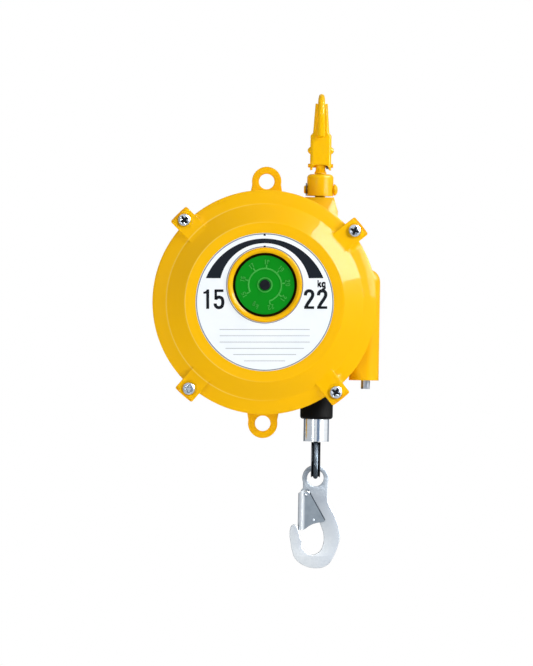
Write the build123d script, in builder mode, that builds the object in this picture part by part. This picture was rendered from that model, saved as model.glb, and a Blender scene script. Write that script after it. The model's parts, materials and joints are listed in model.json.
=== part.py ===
from build123d import *

import os
from math import acos, atan2, cos, degrees, pi, sin

# A spring balancer: a die cast case with a sprung rope drum, which carries a hand tool on a wire rope.
# Millimetres. The origin is the saddle of the upper hook, with +X right, +Y to the back and +Z up.
# The front of the object faces -Y. A radius is written _r, a depth along Y from the load line _y.

# Where the main things lie
load_offset = 55.3  # from the drum's axis to the load line, which runs down through the origin
axis_drop = 206.5  # from the hook's saddle down to the drum's axis
drum_x = -load_offset
drum_z = -axis_drop
run_gap = 0.05  # radial clearance of a shaft in its bush
seat_gap = 0.3  # clearance between pieces that move past each other
touch_gap = 0.05  # clearance between a fastened piece and its seat

# Rear case
split_y = -40.0  # where the cover meets the case
case_r = 106.0
case_wall = 5.0
case_back_y = 62.0
back_bevel = 12.0
back_wall = 5.0
case_draft = 2.5  # how much smaller the wall is at the back
flange_r = 112.0
flange_t = 6.0
flange_taper = 1.5
back_edge = 5.0
bevel_less = 1.0  # how much smaller the bevel is inside than outside
back_boss_r = 31.0
back_boss_h = 4.0
back_ribs = 8
stops = 4
stop_in_r = 89.0
stop_w = 8.0
stop_t = 12.0
back_rib_w = 6.0
back_rib_h = 3.0
back_rib_sunk = 1.0

# Front cover
rim_r = 115.0
rim_t = 6.0
rim_edge = 1.5
ring_r = 100.8
ring_rise = 4.0
crease_r = 1.5
flat_r = 81.5
cone_rise = 16.0
cover_wall = 4.0
lip_depth = 3.0
lip_wall = 3.0
ring_y = split_y - rim_t - ring_rise
flat_y = ring_y - cone_rise

# Lugs that hold cover and case together
lug_angles = (39.4, 135.3, 229.7, 309.3)
screw_circle_r = 117.5
lug_w = 22.5
lug_in_r = 97.0
lug_out_r = 124.8
case_lug_out_r = 127.0
lug_rise = 2.0
case_lug_t = 12.0
spot_r = 8.2
spot_depth = 1.0
spot_in = 1.0
lug_corner_r = 2.0
lug_edge = 0.8

# Cover screws
screw_r = 2.9
screw_head_r = 6.3
screw_head_h = 4.2
recess_w = 1.6
recess_r = 3.4
screw_short = 1.0  # how far the screws end before the back of the case's lugs

# Eyes for the safety wire
ear_r = 15.0
ear_hole_r = 8.1
ear_drop = 124.7
ear_t = 10.0
ear_base = 34.0
ear_sunk = 4.0
ear_side = 7.5  # how far the ear's sides run straight below the middle of its hole

# Hanger: boss on the case, knuckle, cross pin and swivel cap
pin_drop = 89.3
pin_r = 4.2
knuckle_w = 10.4
knuckle_r = 6.9
boss_gap = 8.0  # from the pin down to the top of the boss
boss_left = 15.3
boss_right = 14.2
boss_depth = 27.0
boss_flare = 4.3
boss_flare_h = 14.3
cap_r = 13.55
cap_bore_r = 9.5
cap_top = 4.0
cap_h = 22.4
cap_below_pin = 6.5
cap_edge = 4.0
pin_left = 16.8
pin_head_r = 5.8
pin_head_h = 4.3
pin_head_rim = 1.7
pin_dome = (3.7, 3.5)  # a point of the domed head, along the pin and away from its axis
pin_edge = 1.0
head_gap = 0.2
clip_t = 1.0
clip_r = 6.8
clip_open = 5.0
shank_r = 4.95
nut_r = 8.7
nut_h = 3.2
washer_t = 1.0
nut_edge = 0.5
shank_over = 0.2

# Upper hook
bowl_r = 13.5
hook_top = 9.5
tip_r = 3.5
tip_y = -14.8
tip_drop = 30.5
spine_y = 13.2
spine_half = 4.8
spine_drop = 38.0
spine_step = 3.0  # how much lower the spine's middle lies on the bowl's side
hook_t_top = 4.8
hook_t_mid = 7.0
hook_boss_r = 8.6
hook_boss_t = 10.0
boss_back_rise = 2.0
boss_front_rise = 1.0  # kept low, so that the latch can swing in
boss_front_lean = 0.5
boss_taper_rise = 4.0
latch_pivot_drop = 64.6
latch_pin_r = 2.0
latch_pin_len = 26.1
pin_end_edge = 0.4

# Upper latch, folded from sheet
latch_front_y = -10.6
latch_t = 1.6
latch_w = 21.7
latch_neck_w = 16.5
latch_tip_w = 12.7
latch_bottom = 4.7
latch_step = 32.9
latch_top_drop = 6.2
latch_arch_r = 8.0
latch_cheek_r = 5.6
latch_side = 5.0
latch_neck_low = 3.0
latch_neck_high = 1.0
latch_flare = 3.0
latch_flare_drop = 14.0
latch_tip_side = 4.0
latch_fold = 0.5
latch_over = 1.0
latch_inside = 25.0
bump_r = 3.4
bump_h = 3.1
bump_rise = 15.5
bump_y = -4.0
bump_edge = 1.4
coil_wire_r = 0.6
coil_turns = 2

# Rope and drum
rope_r = 2.4
groove_r = 2.6
drum_wraps = 5
drum_pitch = 7.0
drum_large_r = 77.6
groove_lift = 0.9  # how far the cone's surface lies inside the rope's centre line
drum_front_y = -7.0
front_flange_t = 3.0
front_flange_r = 64.0
rear_flange_r = 86.0
rear_flange_t = 4.0
drum_shell = 6.0
drum_web = 7.0
hub_r = 18.0
groove_margin = 1.0

# Shaft and rear bearing
shaft_r = 12.5
shaft_front_y = -47.0
journal_r = 7.5
bearing_r = 17.5
bearing_w = 11.0
bearing_front_y = 49.5
race_t = 2.6
balls = 8
inner_race_t = 2.0
key_w = 6.0
key_len = 26.0
key_start = 6.0
key_end_gap = 0.5
shaft_edge = 1.0
shoulder_gap = 0.5
shaft_over = 2.5
circlip_gap = 0.2
circlip_t = 1.2
circlip_w = 2.0
circlip_open = 4.0
rear_cap_r = 26.0
rear_cap_t = 4.0
rear_cap_edge = 1.0
cap_screws_n = 3
cap_screw_circle_r = 21.5
cap_screw_r = 1.9
cap_screw_head_r = 3.6
cap_screw_head_h = 2.4
cap_screw_short = 1.0

# Safety pawl on the drum's rear flange
pawl_in = 12.0  # from the edge of the flange to the pawl's pivot
pawl_r = 6.0
pawl_t = 4.0
pawl_len = 26.0
pawl_nose_drop = 4.0
pawl_nose_w = 6.0
pawl_nose_lean = 2.0
pawl_pin_r = 3.0
pawl_pin_out = 6.0
pawl_pin_head_r = 5.0
pawl_pin_head_t = 1.0

# Spring barrel and its worm wheel
barrel_r = 84.0
barrel_wall = 4.5
barrel_front_y = -51.4
barrel_disc = 3.4
barrel_back_y = -8.0
barrel_edge = 3.0
shoulder_step = 4.0
shoulder_w = 3.0
lid_t = 3.0
lid_hub_r = 20.0
lid_hub_h = 5.0
lid_screws_n = 6
lid_screw_r = 1.5
lid_screw_head_r = 1.8
lid_screw_head_h = 1.6
lid_screw_grip = 8.0
lid_hole_depth = 10.0
journal_front_r = 8.0
journal_len = 5.6
spigot_r = 4.0
spigot_len = 5.0
bush_r = 10.5
bush_t = 3.5
bush_edge = 0.4
module_wheel = 2.0
wheel_teeth = 98
wheel_front_y = -23.0
wheel_w = 10.0
wheel_tooth_t = 2.0
wheel_dedendum = 1.1  # depth of the teeth below and above the pitch circle, in modules
wheel_addendum = 0.9
wheel_taper = 0.5
strip_t = 1.0
spring_turns = 9
spring_side_gap = 1.0

# Worm and its box
worm_pitch_r = 7.0
worm_turns = 5
worm_shaft_r = 4.5
worm_tip_r = 9.0
thread_runout = 3.0
thread_sunk = 0.4
thread_root_more = 0.5
thread_tip_less = 0.4
worm_end_gap = 1.0
box_r = 13.5
box_bottom = 78.5
box_top = 22.5
box_in = 17.0
worm_bore_r = 9.6
plug_t = 8.0
plug_edge = 0.5
hex_len = 8.5
hex_flats = 8.0
worm_up = 27.0
upper_bush_t = 7.0
upper_bush_r = 6.8

# Dial
dial_offset = 17.5
dial_r = 30.1
pocket_r = 32.6
bezel_r = 37.5
bezel_rise = 1.6
pocket_floor_y = -56.0
pocket_floor_t = 3.5
pocket_wall = 3.0
dial_face_y = -65.4
dial_face_t = 2.0
dial_teeth = 50
pinion_teeth = 15
dial_module = 1.0
dial_gear_w = 4.4
dial_dedendum = 1.2  # the dial gears' teeth, in modules
dial_addendum = 0.8
dial_tooth_t = 1.1
dial_tooth_taper = 0.25
pinion_tooth_taper = 0.3
pinion_narrower = 0.6
tooth_sunk = 0.4
dial_rim_t = 2.2
dial_post_r = 5.0
dial_hub_r = 7.6
dial_screw_head_r = 5.4
dial_screw_r = 2.5
dial_screw_head_h = 1.4
dial_screw_edge = 0.6
dial_slot_w = 1.2
dial_slot_depth = 0.7
dial_slot_turn = 35

# Rating plate
plate_r = 70.5
plate_t = 0.6
plate_recess = 0.9
plate_hole_r = 38.3

# Rope guide, buffer, sleeve and rope loop
seat_drop = 96.2
seat_r = 17.5
guide_r = 9.0
guide_flange_r = 11.0
guide_flange_t = 2.5
guide_bore_r = 3.2
guide_neck = 5.0
guide_edge = 1.5
buffer_r = 16.85
buffer_h = 22.8
buffer_edge = 3.0
buffer_bore_r = 6.0
sleeve_r = 13.1
sleeve_h = 23.1
sleeve_edge = 1.5
sleeve_pocket = 9.0
rope_split = 2.6  # half the distance between the two legs of the loop where they enter the sleeve
set_screw_r = 2.5
set_screw_drops = (4.2, 10.2)  # from the top of the sleeve
set_screw_sunk = 0.6
set_screw_socket_r = 1.2
set_screw_socket = 2.5
thimble_in_r = 6.5
thimble_base = 1.1
thimble_half_w = 4.7
thimble_rise = 2.6
thimble_tip_out = 1.6
thimble_tip_in = 0.4
thimble_top_gap = 3.6
leg_end_gap = 0.5
loop_drop = 25.8  # from the sleeve to the centre of the loop's bend

# Snap hook, in its own place below the loop
eye_drop = 37.8  # from the sleeve to the centre of the eye
eye_r = 13.5
eye_hole_r = 8.6
snap_t = 8.0
neck_half = 12.6
neck_top = -4.8
neck_low = -17.0
back_straight = -24.2
# the hook's curves as points (x, z) from the centre of the eye: back and bowl, tip, then the inside
snap_back = [(19.1, -38.0), (24.6, -60.0), (15.0, -87.4), (-2.0, -92.8), (-19.5, -83.5), (-25.7, -61.4)]
snap_tip = [(-25.7, -52.4), (-22.3, -49.7), (-18.8, -52.4)]
snap_inside = [(-14.6, -64.0), (-12.0, -73.0), (-2.0, -79.1), (7.0, -73.8), (9.6, -60.0), (4.5, -44.0)]
snap_throat = (-2.0, -26.0)
throat_lean = 0.3
rivet_x = -8.5
rivet_z = -15.9
rivet_r = 2.6
rivet_lobe_r = 6.8
rivet_over = 0.8
rivet_edge = 0.5
gate_t = 1.2
gate_gap = 0.4
gate_edge_x = -17.4
gate_drop = 37.9
gate_fold_r = 1.6
# the gate's free edge, from above the rivet round to its lower end
gate_top = [(-9.9, -11.0), (-5.7, -13.9)]
gate_side = [(10.9, -42.8), (9.5, -44.9), (1.2, -46.2), (-5.7, -49.0)]
gate_low_x = -10.5
gate_hole = (-1.3, -43.2)
gate_hole_r = 1.2
gate_reach = 60.0  # longer than the gate is wide
leaf_t = 0.5
leaf_w = 6.0
leaf_low = 34.0
leaf_bend = 22.0
leaf_top = 12.0
leaf_out = 2.5

# Values worked out from the ones above
drum_axis = Axis((drum_x, 0, drum_z), (0, 1, 0))
section = Plane(origin=(drum_x, 0, drum_z), x_dir=(1, 0, 0), z_dir=(0, 0, 1))
rope_len_y = drum_wraps * drum_pitch
rope_cone = degrees(atan2(drum_large_r - load_offset, rope_len_y))
centre_distance = module_wheel * wheel_teeth / 2 + worm_pitch_r
worm_pitch = pi * module_wheel
worm_x = drum_x + centre_distance
worm_y = wheel_front_y + wheel_w / 2
case_in_r = case_r - case_wall
lug_y = ring_y - lug_rise
pawl_ring_r = rear_flange_r - pawl_in
set_screw_len = sleeve_r - set_screw_sunk - rope_r - touch_gap
seat_z = drum_z - seat_drop
buffer_z = seat_z - seat_gap
sleeve_z = buffer_z - buffer_h
loop_z = sleeve_z - sleeve_h
bend_z = loop_z - loop_drop
eye_z = loop_z - eye_drop
boss_z = -pin_drop - boss_gap
cap_z = -pin_drop - cap_below_pin
ceiling_z = cap_z + cap_h - cap_top


def front_face(y, x=drum_x, z=drum_z):
    """A plane at depth y that faces the front, with +X to the right and +Z up."""
    return Plane(origin=(x, y, z), x_dir=(1, 0, 0), z_dir=(0, -1, 0))


def level(z, x=0.0, y=0.0):
    """A level plane at height z, which faces up."""
    return Plane(origin=(x, y, z), x_dir=(1, 0, 0), z_dir=(0, 0, 1))


def across(x, y=0.0, z=0.0):
    """A plane that faces +X, with +Y to the right and +Z up."""
    return Plane(origin=(x, y, z), x_dir=(0, 1, 0), z_dir=(1, 0, 0))


def outline(points, plane=section):
    """A closed straight sided face. On the section plane its points are (radius, y)."""
    with BuildSketch(plane) as sketch:
        with BuildLine():
            Polyline(*points, close=True)
        make_face()
    return sketch.sketch


def ring_outline(inner, outer, front, back):
    """A rectangle to be spun about the drum's axis."""
    return outline([(inner, front), (outer, front), (outer, back), (inner, back)])


def tooth_ring(teeth, root, tip, thickness, start, tooth_taper):
    """Tooth faces about the origin of a sketch, pointing out, or in where tip is less than root."""
    sunk = tooth_sunk if tip > root else -tooth_sunk
    half_root = thickness / 2 + tooth_taper
    half_tip = thickness / 2 - tooth_taper
    faces = []
    for k in range(teeth):
        turn = start + 360 / teeth * k
        corners = [(root - sunk, -half_root), (tip, -half_tip), (tip, half_tip), (root - sunk, half_root)]
        spun = [Vector(a, b).rotate(Axis.Z, turn) for a, b in corners]
        faces.append([(v.X, v.Y) for v in spun])
    return faces


def farther(edges, radius):
    """Those of the edges whose middle lies farther than a radius from the drum's axis."""
    along = Vector(0, 1, 0)
    return [edge for edge in edges if (edge @ 0.5 - Vector(drum_x, 0, drum_z)).cross(along).length > radius]


# Rear case: spun shell with its flange, lugs, eyes, hanger boss, worm box and rope seat
case_outer = [
    (0, split_y),
    (flange_r, split_y),
    (flange_r, split_y + flange_t),
    (case_r, split_y + flange_t + flange_taper),
    (case_r - case_draft, case_back_y - back_bevel),
    (case_r - case_draft - back_bevel, case_back_y),
    (back_boss_r, case_back_y),
    (back_boss_r, case_back_y + back_boss_h),
    (0, case_back_y + back_boss_h),
]
inner_back_y = case_back_y - back_wall
inner_bevel = back_bevel - bevel_less
case_inner = [
    (0, split_y),
    (case_in_r, split_y),
    (case_in_r - case_draft, inner_back_y - inner_bevel),
    (case_in_r - case_draft - inner_bevel, inner_back_y),
    (bearing_r + case_wall, inner_back_y),
    (bearing_r + case_wall, bearing_front_y),
    (bearing_r + touch_gap, bearing_front_y),
    (bearing_r + touch_gap, case_back_y + back_boss_h),
    (0, case_back_y + back_boss_h),
]

with BuildPart() as rear_case:
    revolve(outline(case_outer), axis=drum_axis)
    fillet(rear_case.edges().filter_by(GeomType.CIRCLE).group_by(Axis.Y)[-3], back_edge)
    # lugs behind the cover's lugs
    with BuildSketch(front_face(split_y)):
        for angle in lug_angles:
            with Locations(Rotation(0, 0, angle)):
                with Locations(((case_in_r + case_lug_out_r) / 2, 0)):
                    Rectangle(case_lug_out_r - case_in_r, lug_w)
        Circle(case_lug_out_r, mode=Mode.INTERSECT)
    extrude(amount=-case_lug_t)
    fillet(farther(rear_case.edges().filter_by(Axis.Y), screw_circle_r), lug_corner_r)
    # eyes for the safety wire, top and bottom
    for side in (1, -1):
        with BuildSketch(front_face(-ear_t / 2)):
            with BuildLine():
                Polyline(
                    (-ear_base / 2, side * (case_r - ear_sunk)),
                    (-ear_r, side * (ear_drop - ear_side)),
                    (-ear_r, side * ear_drop),
                    (ear_r, side * ear_drop),
                    (ear_r, side * (ear_drop - ear_side)),
                    (ear_base / 2, side * (case_r - ear_sunk)),
                    close=True,
                )
            make_face()
            with Locations((0, side * ear_drop)):
                Circle(ear_r)
                Circle(ear_hole_r, mode=Mode.SUBTRACT)
        extrude(amount=-ear_t)
    # hanger boss, with the knuckle that goes up into the swivel cap
    boss_top = boss_z - drum_z
    with BuildSketch(front_face(-boss_depth / 2)):
        with BuildLine():
            Polyline(
                (load_offset - boss_left, boss_top),
                (load_offset + boss_right, boss_top),
                (load_offset + boss_right + boss_flare, boss_top - boss_flare_h),
                (load_offset + boss_right + boss_flare, case_in_r / 2),
                (load_offset - boss_left, case_in_r / 2),
                close=True,
            )
        make_face()
    extrude(amount=-boss_depth)
    with BuildSketch(across(-knuckle_w / 2, 0, -pin_drop)):
        Circle(knuckle_r)
        with Locations((0, -boss_gap)):
            Rectangle(2 * knuckle_r, 2 * boss_gap)
    extrude(amount=knuckle_w)
    # worm box: a round tower with a block that ties it to the wall
    with BuildSketch(level(drum_z - box_bottom, worm_x, worm_y)):
        Circle(box_r)
        with Locations((-box_in / 2, 0)):
            Rectangle(box_in, 2 * box_r)
    extrude(amount=box_bottom + box_top)
    with BuildSketch(Plane(origin=(worm_x, worm_y, drum_z + box_top), x_dir=(1, 0, 0), z_dir=(0, -1, 0))):
        with BuildLine():
            Line((0, 0), (box_r, 0))
            CenterArc((0, 0), box_r, 0, 90)
            Line((0, box_r), (0, 0))
        make_face()
    revolve(axis=Axis((worm_x, worm_y, drum_z), (0, 0, 1)))
    with BuildSketch(across(worm_x - box_in, worm_y, drum_z + box_top)):
        with BuildLine():
            Line((-box_r, 0), (box_r, 0))
            CenterArc((0, 0), box_r, 0, 180)
        make_face()
    extrude(amount=box_in)
    # seat for the rubber buffer, faced off flat where the wall curves down beside it
    with BuildSketch(level(seat_z)):
        Circle(seat_r)
    extrude(amount=seat_drop / 2)
    with BuildSketch(level(seat_z)):
        Circle(seat_r + seat_gap)
    extrude(amount=-buffer_h / 2, mode=Mode.SUBTRACT)
    # hollow, with room for the bearing
    revolve(outline(case_inner), axis=drum_axis, mode=Mode.SUBTRACT)
    # ribs on the back
    with BuildSketch(front_face(case_back_y)):
        rib_out_r = case_in_r - back_bevel
        with PolarLocations((back_boss_r + rib_out_r) / 2, back_ribs, start_angle=180 / back_ribs):
            Rectangle(rib_out_r - back_boss_r + 2 * back_rib_sunk, back_rib_w)
    extrude(amount=-back_rib_h)
    # ratchet stops for the safety pawl
    with BuildSketch(front_face(case_back_y - back_bevel)):
        with PolarLocations((stop_in_r + case_in_r) / 2, stops, start_angle=180 / stops):
            Rectangle(case_in_r - stop_in_r, stop_w)
    extrude(amount=stop_t)
    # screw holes, pin hole, worm bore, rope hole and the holes of the rear cap
    with BuildSketch(front_face(split_y)):
        for angle in lug_angles:
            with Locations(Rotation(0, 0, angle)):
                with Locations((screw_circle_r, 0)):
                    Circle(screw_r + touch_gap)
    extrude(amount=-case_lug_t, mode=Mode.SUBTRACT)
    with BuildSketch(across(-cap_r, 0, -pin_drop)):
        Circle(pin_r + run_gap)
    extrude(amount=2 * cap_r, mode=Mode.SUBTRACT)
    with BuildSketch(level(drum_z - box_bottom, worm_x, worm_y)):
        Circle(worm_bore_r)
    extrude(amount=box_bottom + worm_up - upper_bush_t - touch_gap, mode=Mode.SUBTRACT)
    with BuildSketch(level(drum_z, worm_x, worm_y)):
        Circle(upper_bush_r + touch_gap)
    extrude(amount=worm_up + worm_end_gap, mode=Mode.SUBTRACT)
    with BuildSketch(level(seat_z)):
        Circle(guide_r)
    extrude(amount=seat_drop / 2, mode=Mode.SUBTRACT)
    with BuildSketch(level(seat_z)):
        Circle(guide_flange_r + touch_gap)
    extrude(amount=guide_flange_t, mode=Mode.SUBTRACT)
    with BuildSketch(front_face(case_back_y + back_boss_h)):
        with PolarLocations(cap_screw_circle_r, cap_screws_n, start_angle=90):
            Circle(cap_screw_r + touch_gap)
    extrude(amount=2 * back_boss_h, mode=Mode.SUBTRACT)
rear_case.part.label = "rear_case"

# Front cover: spun dish with a sloping cone, screw lugs, a dial pocket and its bezel
lip_r = case_in_r - seat_gap
cover_outer = [
    (0, split_y),
    (rim_r, split_y),
    (rim_r, split_y - rim_t + rim_edge),
    (rim_r - rim_edge, split_y - rim_t),
    (ring_r, ring_y),
    (flat_r, flat_y),
    (0, flat_y),
]
cover_inner = [
    (0, split_y),
    (lip_r - lip_wall, split_y),
    (ring_r - cover_wall, ring_y + cover_wall),
    (flat_r - cover_wall / 2, flat_y + cover_wall),
    (0, flat_y + cover_wall),
]
dial_z = drum_z + dial_offset

with BuildPart() as front_cover:
    revolve(outline(cover_outer), axis=drum_axis)
    fillet(front_cover.edges().filter_by(GeomType.CIRCLE).sort_by(Axis.Y)[0:2], crease_r)
    with BuildSketch(front_face(split_y)):
        for angle in lug_angles:
            with Locations(Rotation(0, 0, angle)):
                with Locations(((lug_in_r + lug_out_r) / 2, 0)):
                    Rectangle(lug_out_r - lug_in_r, lug_w)
        Circle(lug_out_r, mode=Mode.INTERSECT)
    extrude(amount=split_y - lug_y)
    fillet(farther(front_cover.edges().filter_by(Axis.Y), screw_circle_r), lug_corner_r)
    lug_tops = front_cover.edges().filter_by_position(Axis.Y, lug_y - run_gap, lug_y + run_gap)
    fillet(farther(lug_tops, ring_r), lug_edge)
    # spigot that centres the cover in the case
    revolve(ring_outline(lip_r - lip_wall, lip_r, split_y, split_y + lip_depth), axis=drum_axis)
    revolve(outline(cover_inner), axis=drum_axis, mode=Mode.SUBTRACT)
    # dial pocket and bezel
    with BuildSketch(front_face(flat_y, drum_x, dial_z)):
        Circle(bezel_r)
    extrude(amount=bezel_rise)
    fillet(front_cover.edges().filter_by(GeomType.CIRCLE).sort_by(Axis.Y)[0], bezel_rise / 2)
    with BuildSketch(front_face(flat_y + cover_wall / 2, drum_x, dial_z)):
        Circle(pocket_r + pocket_wall)
    extrude(amount=flat_y + cover_wall / 2 - pocket_floor_y - pocket_floor_t)
    with BuildSketch(front_face(pocket_floor_y, drum_x, dial_z)):
        Circle(pocket_r)
    extrude(amount=pocket_floor_y - flat_y + bezel_rise, mode=Mode.SUBTRACT)
    with BuildSketch(front_face(pocket_floor_y, drum_x, dial_z)):
        Circle(dial_post_r)
    extrude(amount=pocket_floor_y - dial_face_y - touch_gap)
    # holes: barrel bush, dial screw, cover screws with their spot faces
    with BuildSketch(front_face(pocket_floor_y + pocket_floor_t)):
        Circle(bush_r + touch_gap)
    extrude(amount=pocket_floor_t, mode=Mode.SUBTRACT)
    with BuildSketch(front_face(pocket_floor_y + pocket_floor_t, drum_x, dial_z)):
        Circle(dial_screw_r + touch_gap)
    extrude(amount=pocket_floor_y + pocket_floor_t - dial_face_y, mode=Mode.SUBTRACT)
    with BuildSketch(front_face(split_y)):
        for angle in lug_angles:
            with Locations(Rotation(0, 0, angle)):
                with Locations((screw_circle_r, 0)):
                    Circle(screw_r + seat_gap)
    extrude(amount=split_y - lug_y, mode=Mode.SUBTRACT)
    with BuildSketch(front_face(lug_y + spot_depth)):
        for angle in lug_angles:
            with Locations(Rotation(0, 0, angle)):
                with Locations((screw_circle_r - spot_in, 0)):
                    Circle(spot_r)
    extrude(amount=spot_depth, mode=Mode.SUBTRACT)
    # recess for the rating plate
    with BuildSketch(front_face(flat_y + plate_recess)):
        Circle(plate_r + seat_gap)
        with Locations((0, dial_offset)):
            Circle(plate_hole_r - seat_gap, mode=Mode.SUBTRACT)
    extrude(amount=plate_recess, mode=Mode.SUBTRACT)
front_cover.part.label = "front_cover"

# Cover screws: four pan heads with a cross recess
screw_seat_y = lug_y + spot_depth - touch_gap
with BuildPart() as cover_screws:
    with BuildSketch(front_face(split_y + case_lug_t - screw_short)):
        for angle in lug_angles:
            with Locations(Rotation(0, 0, angle)):
                with Locations((screw_circle_r, 0)):
                    Circle(screw_r)
    extrude(amount=split_y + case_lug_t - screw_short - screw_seat_y)
    with BuildSketch(front_face(screw_seat_y)):
        for angle in lug_angles:
            with Locations(Rotation(0, 0, angle)):
                with Locations((screw_circle_r, 0)):
                    Circle(screw_head_r)
    extrude(amount=screw_head_h)
    fillet(cover_screws.edges().filter_by(GeomType.CIRCLE).group_by(Axis.Y)[0], screw_head_h / 2)
    with BuildSketch(front_face(screw_seat_y - screw_head_h)):
        for angle in lug_angles:
            with Locations(Rotation(0, 0, angle)):
                with Locations((screw_circle_r, 0)):
                    Rectangle(2 * recess_r, recess_w)
                    Rectangle(recess_w, 2 * recess_r)
    extrude(amount=-screw_head_h / 2, mode=Mode.SUBTRACT)
cover_screws.part.label = "cover_screws"

# Rating plate: thin printed disc with a hole for the bezel
with BuildPart() as rating_plate:
    with BuildSketch(front_face(flat_y + plate_recess - touch_gap)):
        Circle(plate_r)
        with Locations((0, dial_offset)):
            Circle(plate_hole_r, mode=Mode.SUBTRACT)
    extrude(amount=plate_t)
rating_plate.part.label = "rating_plate"

# Front bush for the barrel's journal
with BuildPart() as front_bush:
    bush_back_y = pocket_floor_y + pocket_floor_t
    bush_face = ring_outline(journal_front_r + run_gap, bush_r, bush_back_y - bush_t, bush_back_y)
    revolve(bush_face, axis=drum_axis)
    chamfer(front_bush.edges().group_by(Axis.Y)[0], bush_edge)
front_bush.part.label = "front_bush"

# Dial: face disc, rim with inside teeth, hub that turns on the pocket's post
dial_pitch_r = dial_module * dial_teeth / 2
gear_back_y = dial_face_y + dial_face_t + dial_gear_w
ring_root = dial_pitch_r + dial_dedendum * dial_module
ring_tip = dial_pitch_r - dial_addendum * dial_module
dial_tooth = dial_tooth_t * dial_module
with BuildPart() as dial:
    with BuildSketch(front_face(dial_face_y + dial_face_t, drum_x, dial_z)):
        Circle(dial_r)
    extrude(amount=dial_face_t)
    with BuildSketch(front_face(gear_back_y, drum_x, dial_z)):
        Circle(ring_root + dial_rim_t)
        Circle(ring_root, mode=Mode.SUBTRACT)
        first = -90 + 180 / dial_teeth
        teeth = tooth_ring(dial_teeth, ring_root, ring_tip, dial_tooth, first, dial_tooth_taper)
        for corners in teeth:
            with BuildLine():
                Polyline(*corners, close=True)
            make_face()
    extrude(amount=dial_gear_w)
    with BuildSketch(front_face(gear_back_y, drum_x, dial_z)):
        Circle(dial_hub_r)
    extrude(amount=dial_gear_w)
    with BuildSketch(front_face(gear_back_y, drum_x, dial_z)):
        Circle(dial_post_r + run_gap)
    extrude(amount=dial_gear_w + dial_face_t, mode=Mode.SUBTRACT)
dial.part.label = "dial"

# Screw that holds the dial on its post, with a driver slot
with BuildPart() as dial_screw:
    dial_seat_y = dial_face_y - 2 * touch_gap
    with BuildSketch(front_face(dial_seat_y, drum_x, dial_z)):
        Circle(dial_screw_head_r)
    extrude(amount=dial_screw_head_h)
    fillet(dial_screw.edges().filter_by(GeomType.CIRCLE).sort_by(Axis.Y)[0], dial_screw_edge)
    with BuildSketch(front_face(pocket_floor_y, drum_x, dial_z)):
        Circle(dial_screw_r)
    extrude(amount=pocket_floor_y - dial_seat_y)
    with BuildSketch(front_face(dial_seat_y - dial_screw_head_h, drum_x, dial_z)):
        Rectangle(3 * dial_screw_head_r, dial_slot_w, rotation=dial_slot_turn)
    extrude(amount=-dial_slot_depth, mode=Mode.SUBTRACT)
dial_screw.part.label = "dial_screw"

# Spring barrel: pot with a journal at the front and a shoulder for the worm wheel
pot_back_y = barrel_back_y - lid_t
shoulder_r = barrel_r + shoulder_step
journal_y = barrel_front_y - journal_len
barrel_outline = [
    (0, journal_y - spigot_len),
    (spigot_r, journal_y - spigot_len),
    (spigot_r, journal_y),
    (journal_front_r, journal_y),
    (journal_front_r, barrel_front_y),
    (barrel_r - barrel_edge, barrel_front_y),
    (barrel_r, barrel_front_y + barrel_edge),
    (barrel_r, wheel_front_y - shoulder_w),
    (shoulder_r, wheel_front_y - shoulder_w),
    (shoulder_r, wheel_front_y),
    (barrel_r, wheel_front_y),
    (barrel_r, pot_back_y),
    (barrel_r - barrel_wall, pot_back_y),
    (barrel_r - barrel_wall, barrel_front_y + barrel_disc),
    (0, barrel_front_y + barrel_disc),
]
lid_bolt_r = barrel_r - barrel_wall / 2
with BuildPart() as spring_barrel:
    revolve(outline(barrel_outline), axis=drum_axis)
    with BuildSketch(front_face(pot_back_y)):
        with PolarLocations(lid_bolt_r, lid_screws_n):
            Circle(lid_screw_r + touch_gap)
    extrude(amount=lid_hole_depth, mode=Mode.SUBTRACT)
spring_barrel.part.label = "spring_barrel"

with BuildPart() as barrel_lid:
    lid_outline = [
        (shaft_r + run_gap, pot_back_y - lid_hub_h),
        (lid_hub_r, pot_back_y - lid_hub_h),
        (lid_hub_r, pot_back_y),
        (barrel_r, pot_back_y),
        (barrel_r, barrel_back_y),
        (shaft_r + run_gap, barrel_back_y),
    ]
    revolve(outline(lid_outline), axis=drum_axis)
    with BuildSketch(front_face(barrel_back_y)):
        with PolarLocations(lid_bolt_r, lid_screws_n):
            Circle(lid_screw_r + touch_gap)
    extrude(amount=lid_t, mode=Mode.SUBTRACT)
barrel_lid.part.label = "barrel_lid"

with BuildPart() as lid_screws:
    with BuildSketch(front_face(barrel_back_y)):
        with PolarLocations(lid_bolt_r, lid_screws_n):
            Circle(lid_screw_r)
    extrude(amount=lid_t + lid_screw_grip)
    with BuildSketch(front_face(barrel_back_y)):
        with PolarLocations(lid_bolt_r, lid_screws_n):
            Circle(lid_screw_head_r)
    extrude(amount=-lid_screw_head_h)
lid_screws.part.label = "lid_screws"

# Worm wheel: a toothed ring pressed on the barrel
wheel_pitch_r = module_wheel * wheel_teeth / 2
wheel_root_r = wheel_pitch_r - wheel_dedendum * module_wheel
wheel_tip_r = wheel_pitch_r + wheel_addendum * module_wheel
with BuildPart() as worm_wheel:
    with BuildSketch(front_face(wheel_front_y + wheel_w)):
        Circle(wheel_root_r)
        first = 180 / wheel_teeth
        teeth = tooth_ring(wheel_teeth, wheel_root_r, wheel_tip_r, wheel_tooth_t, first, wheel_taper)
        for corners in teeth:
            with BuildLine():
                Polyline(*corners, close=True)
            make_face()
        Circle(barrel_r + touch_gap, mode=Mode.SUBTRACT)
    extrude(amount=wheel_w)
worm_wheel.part.label = "worm_wheel"

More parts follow.
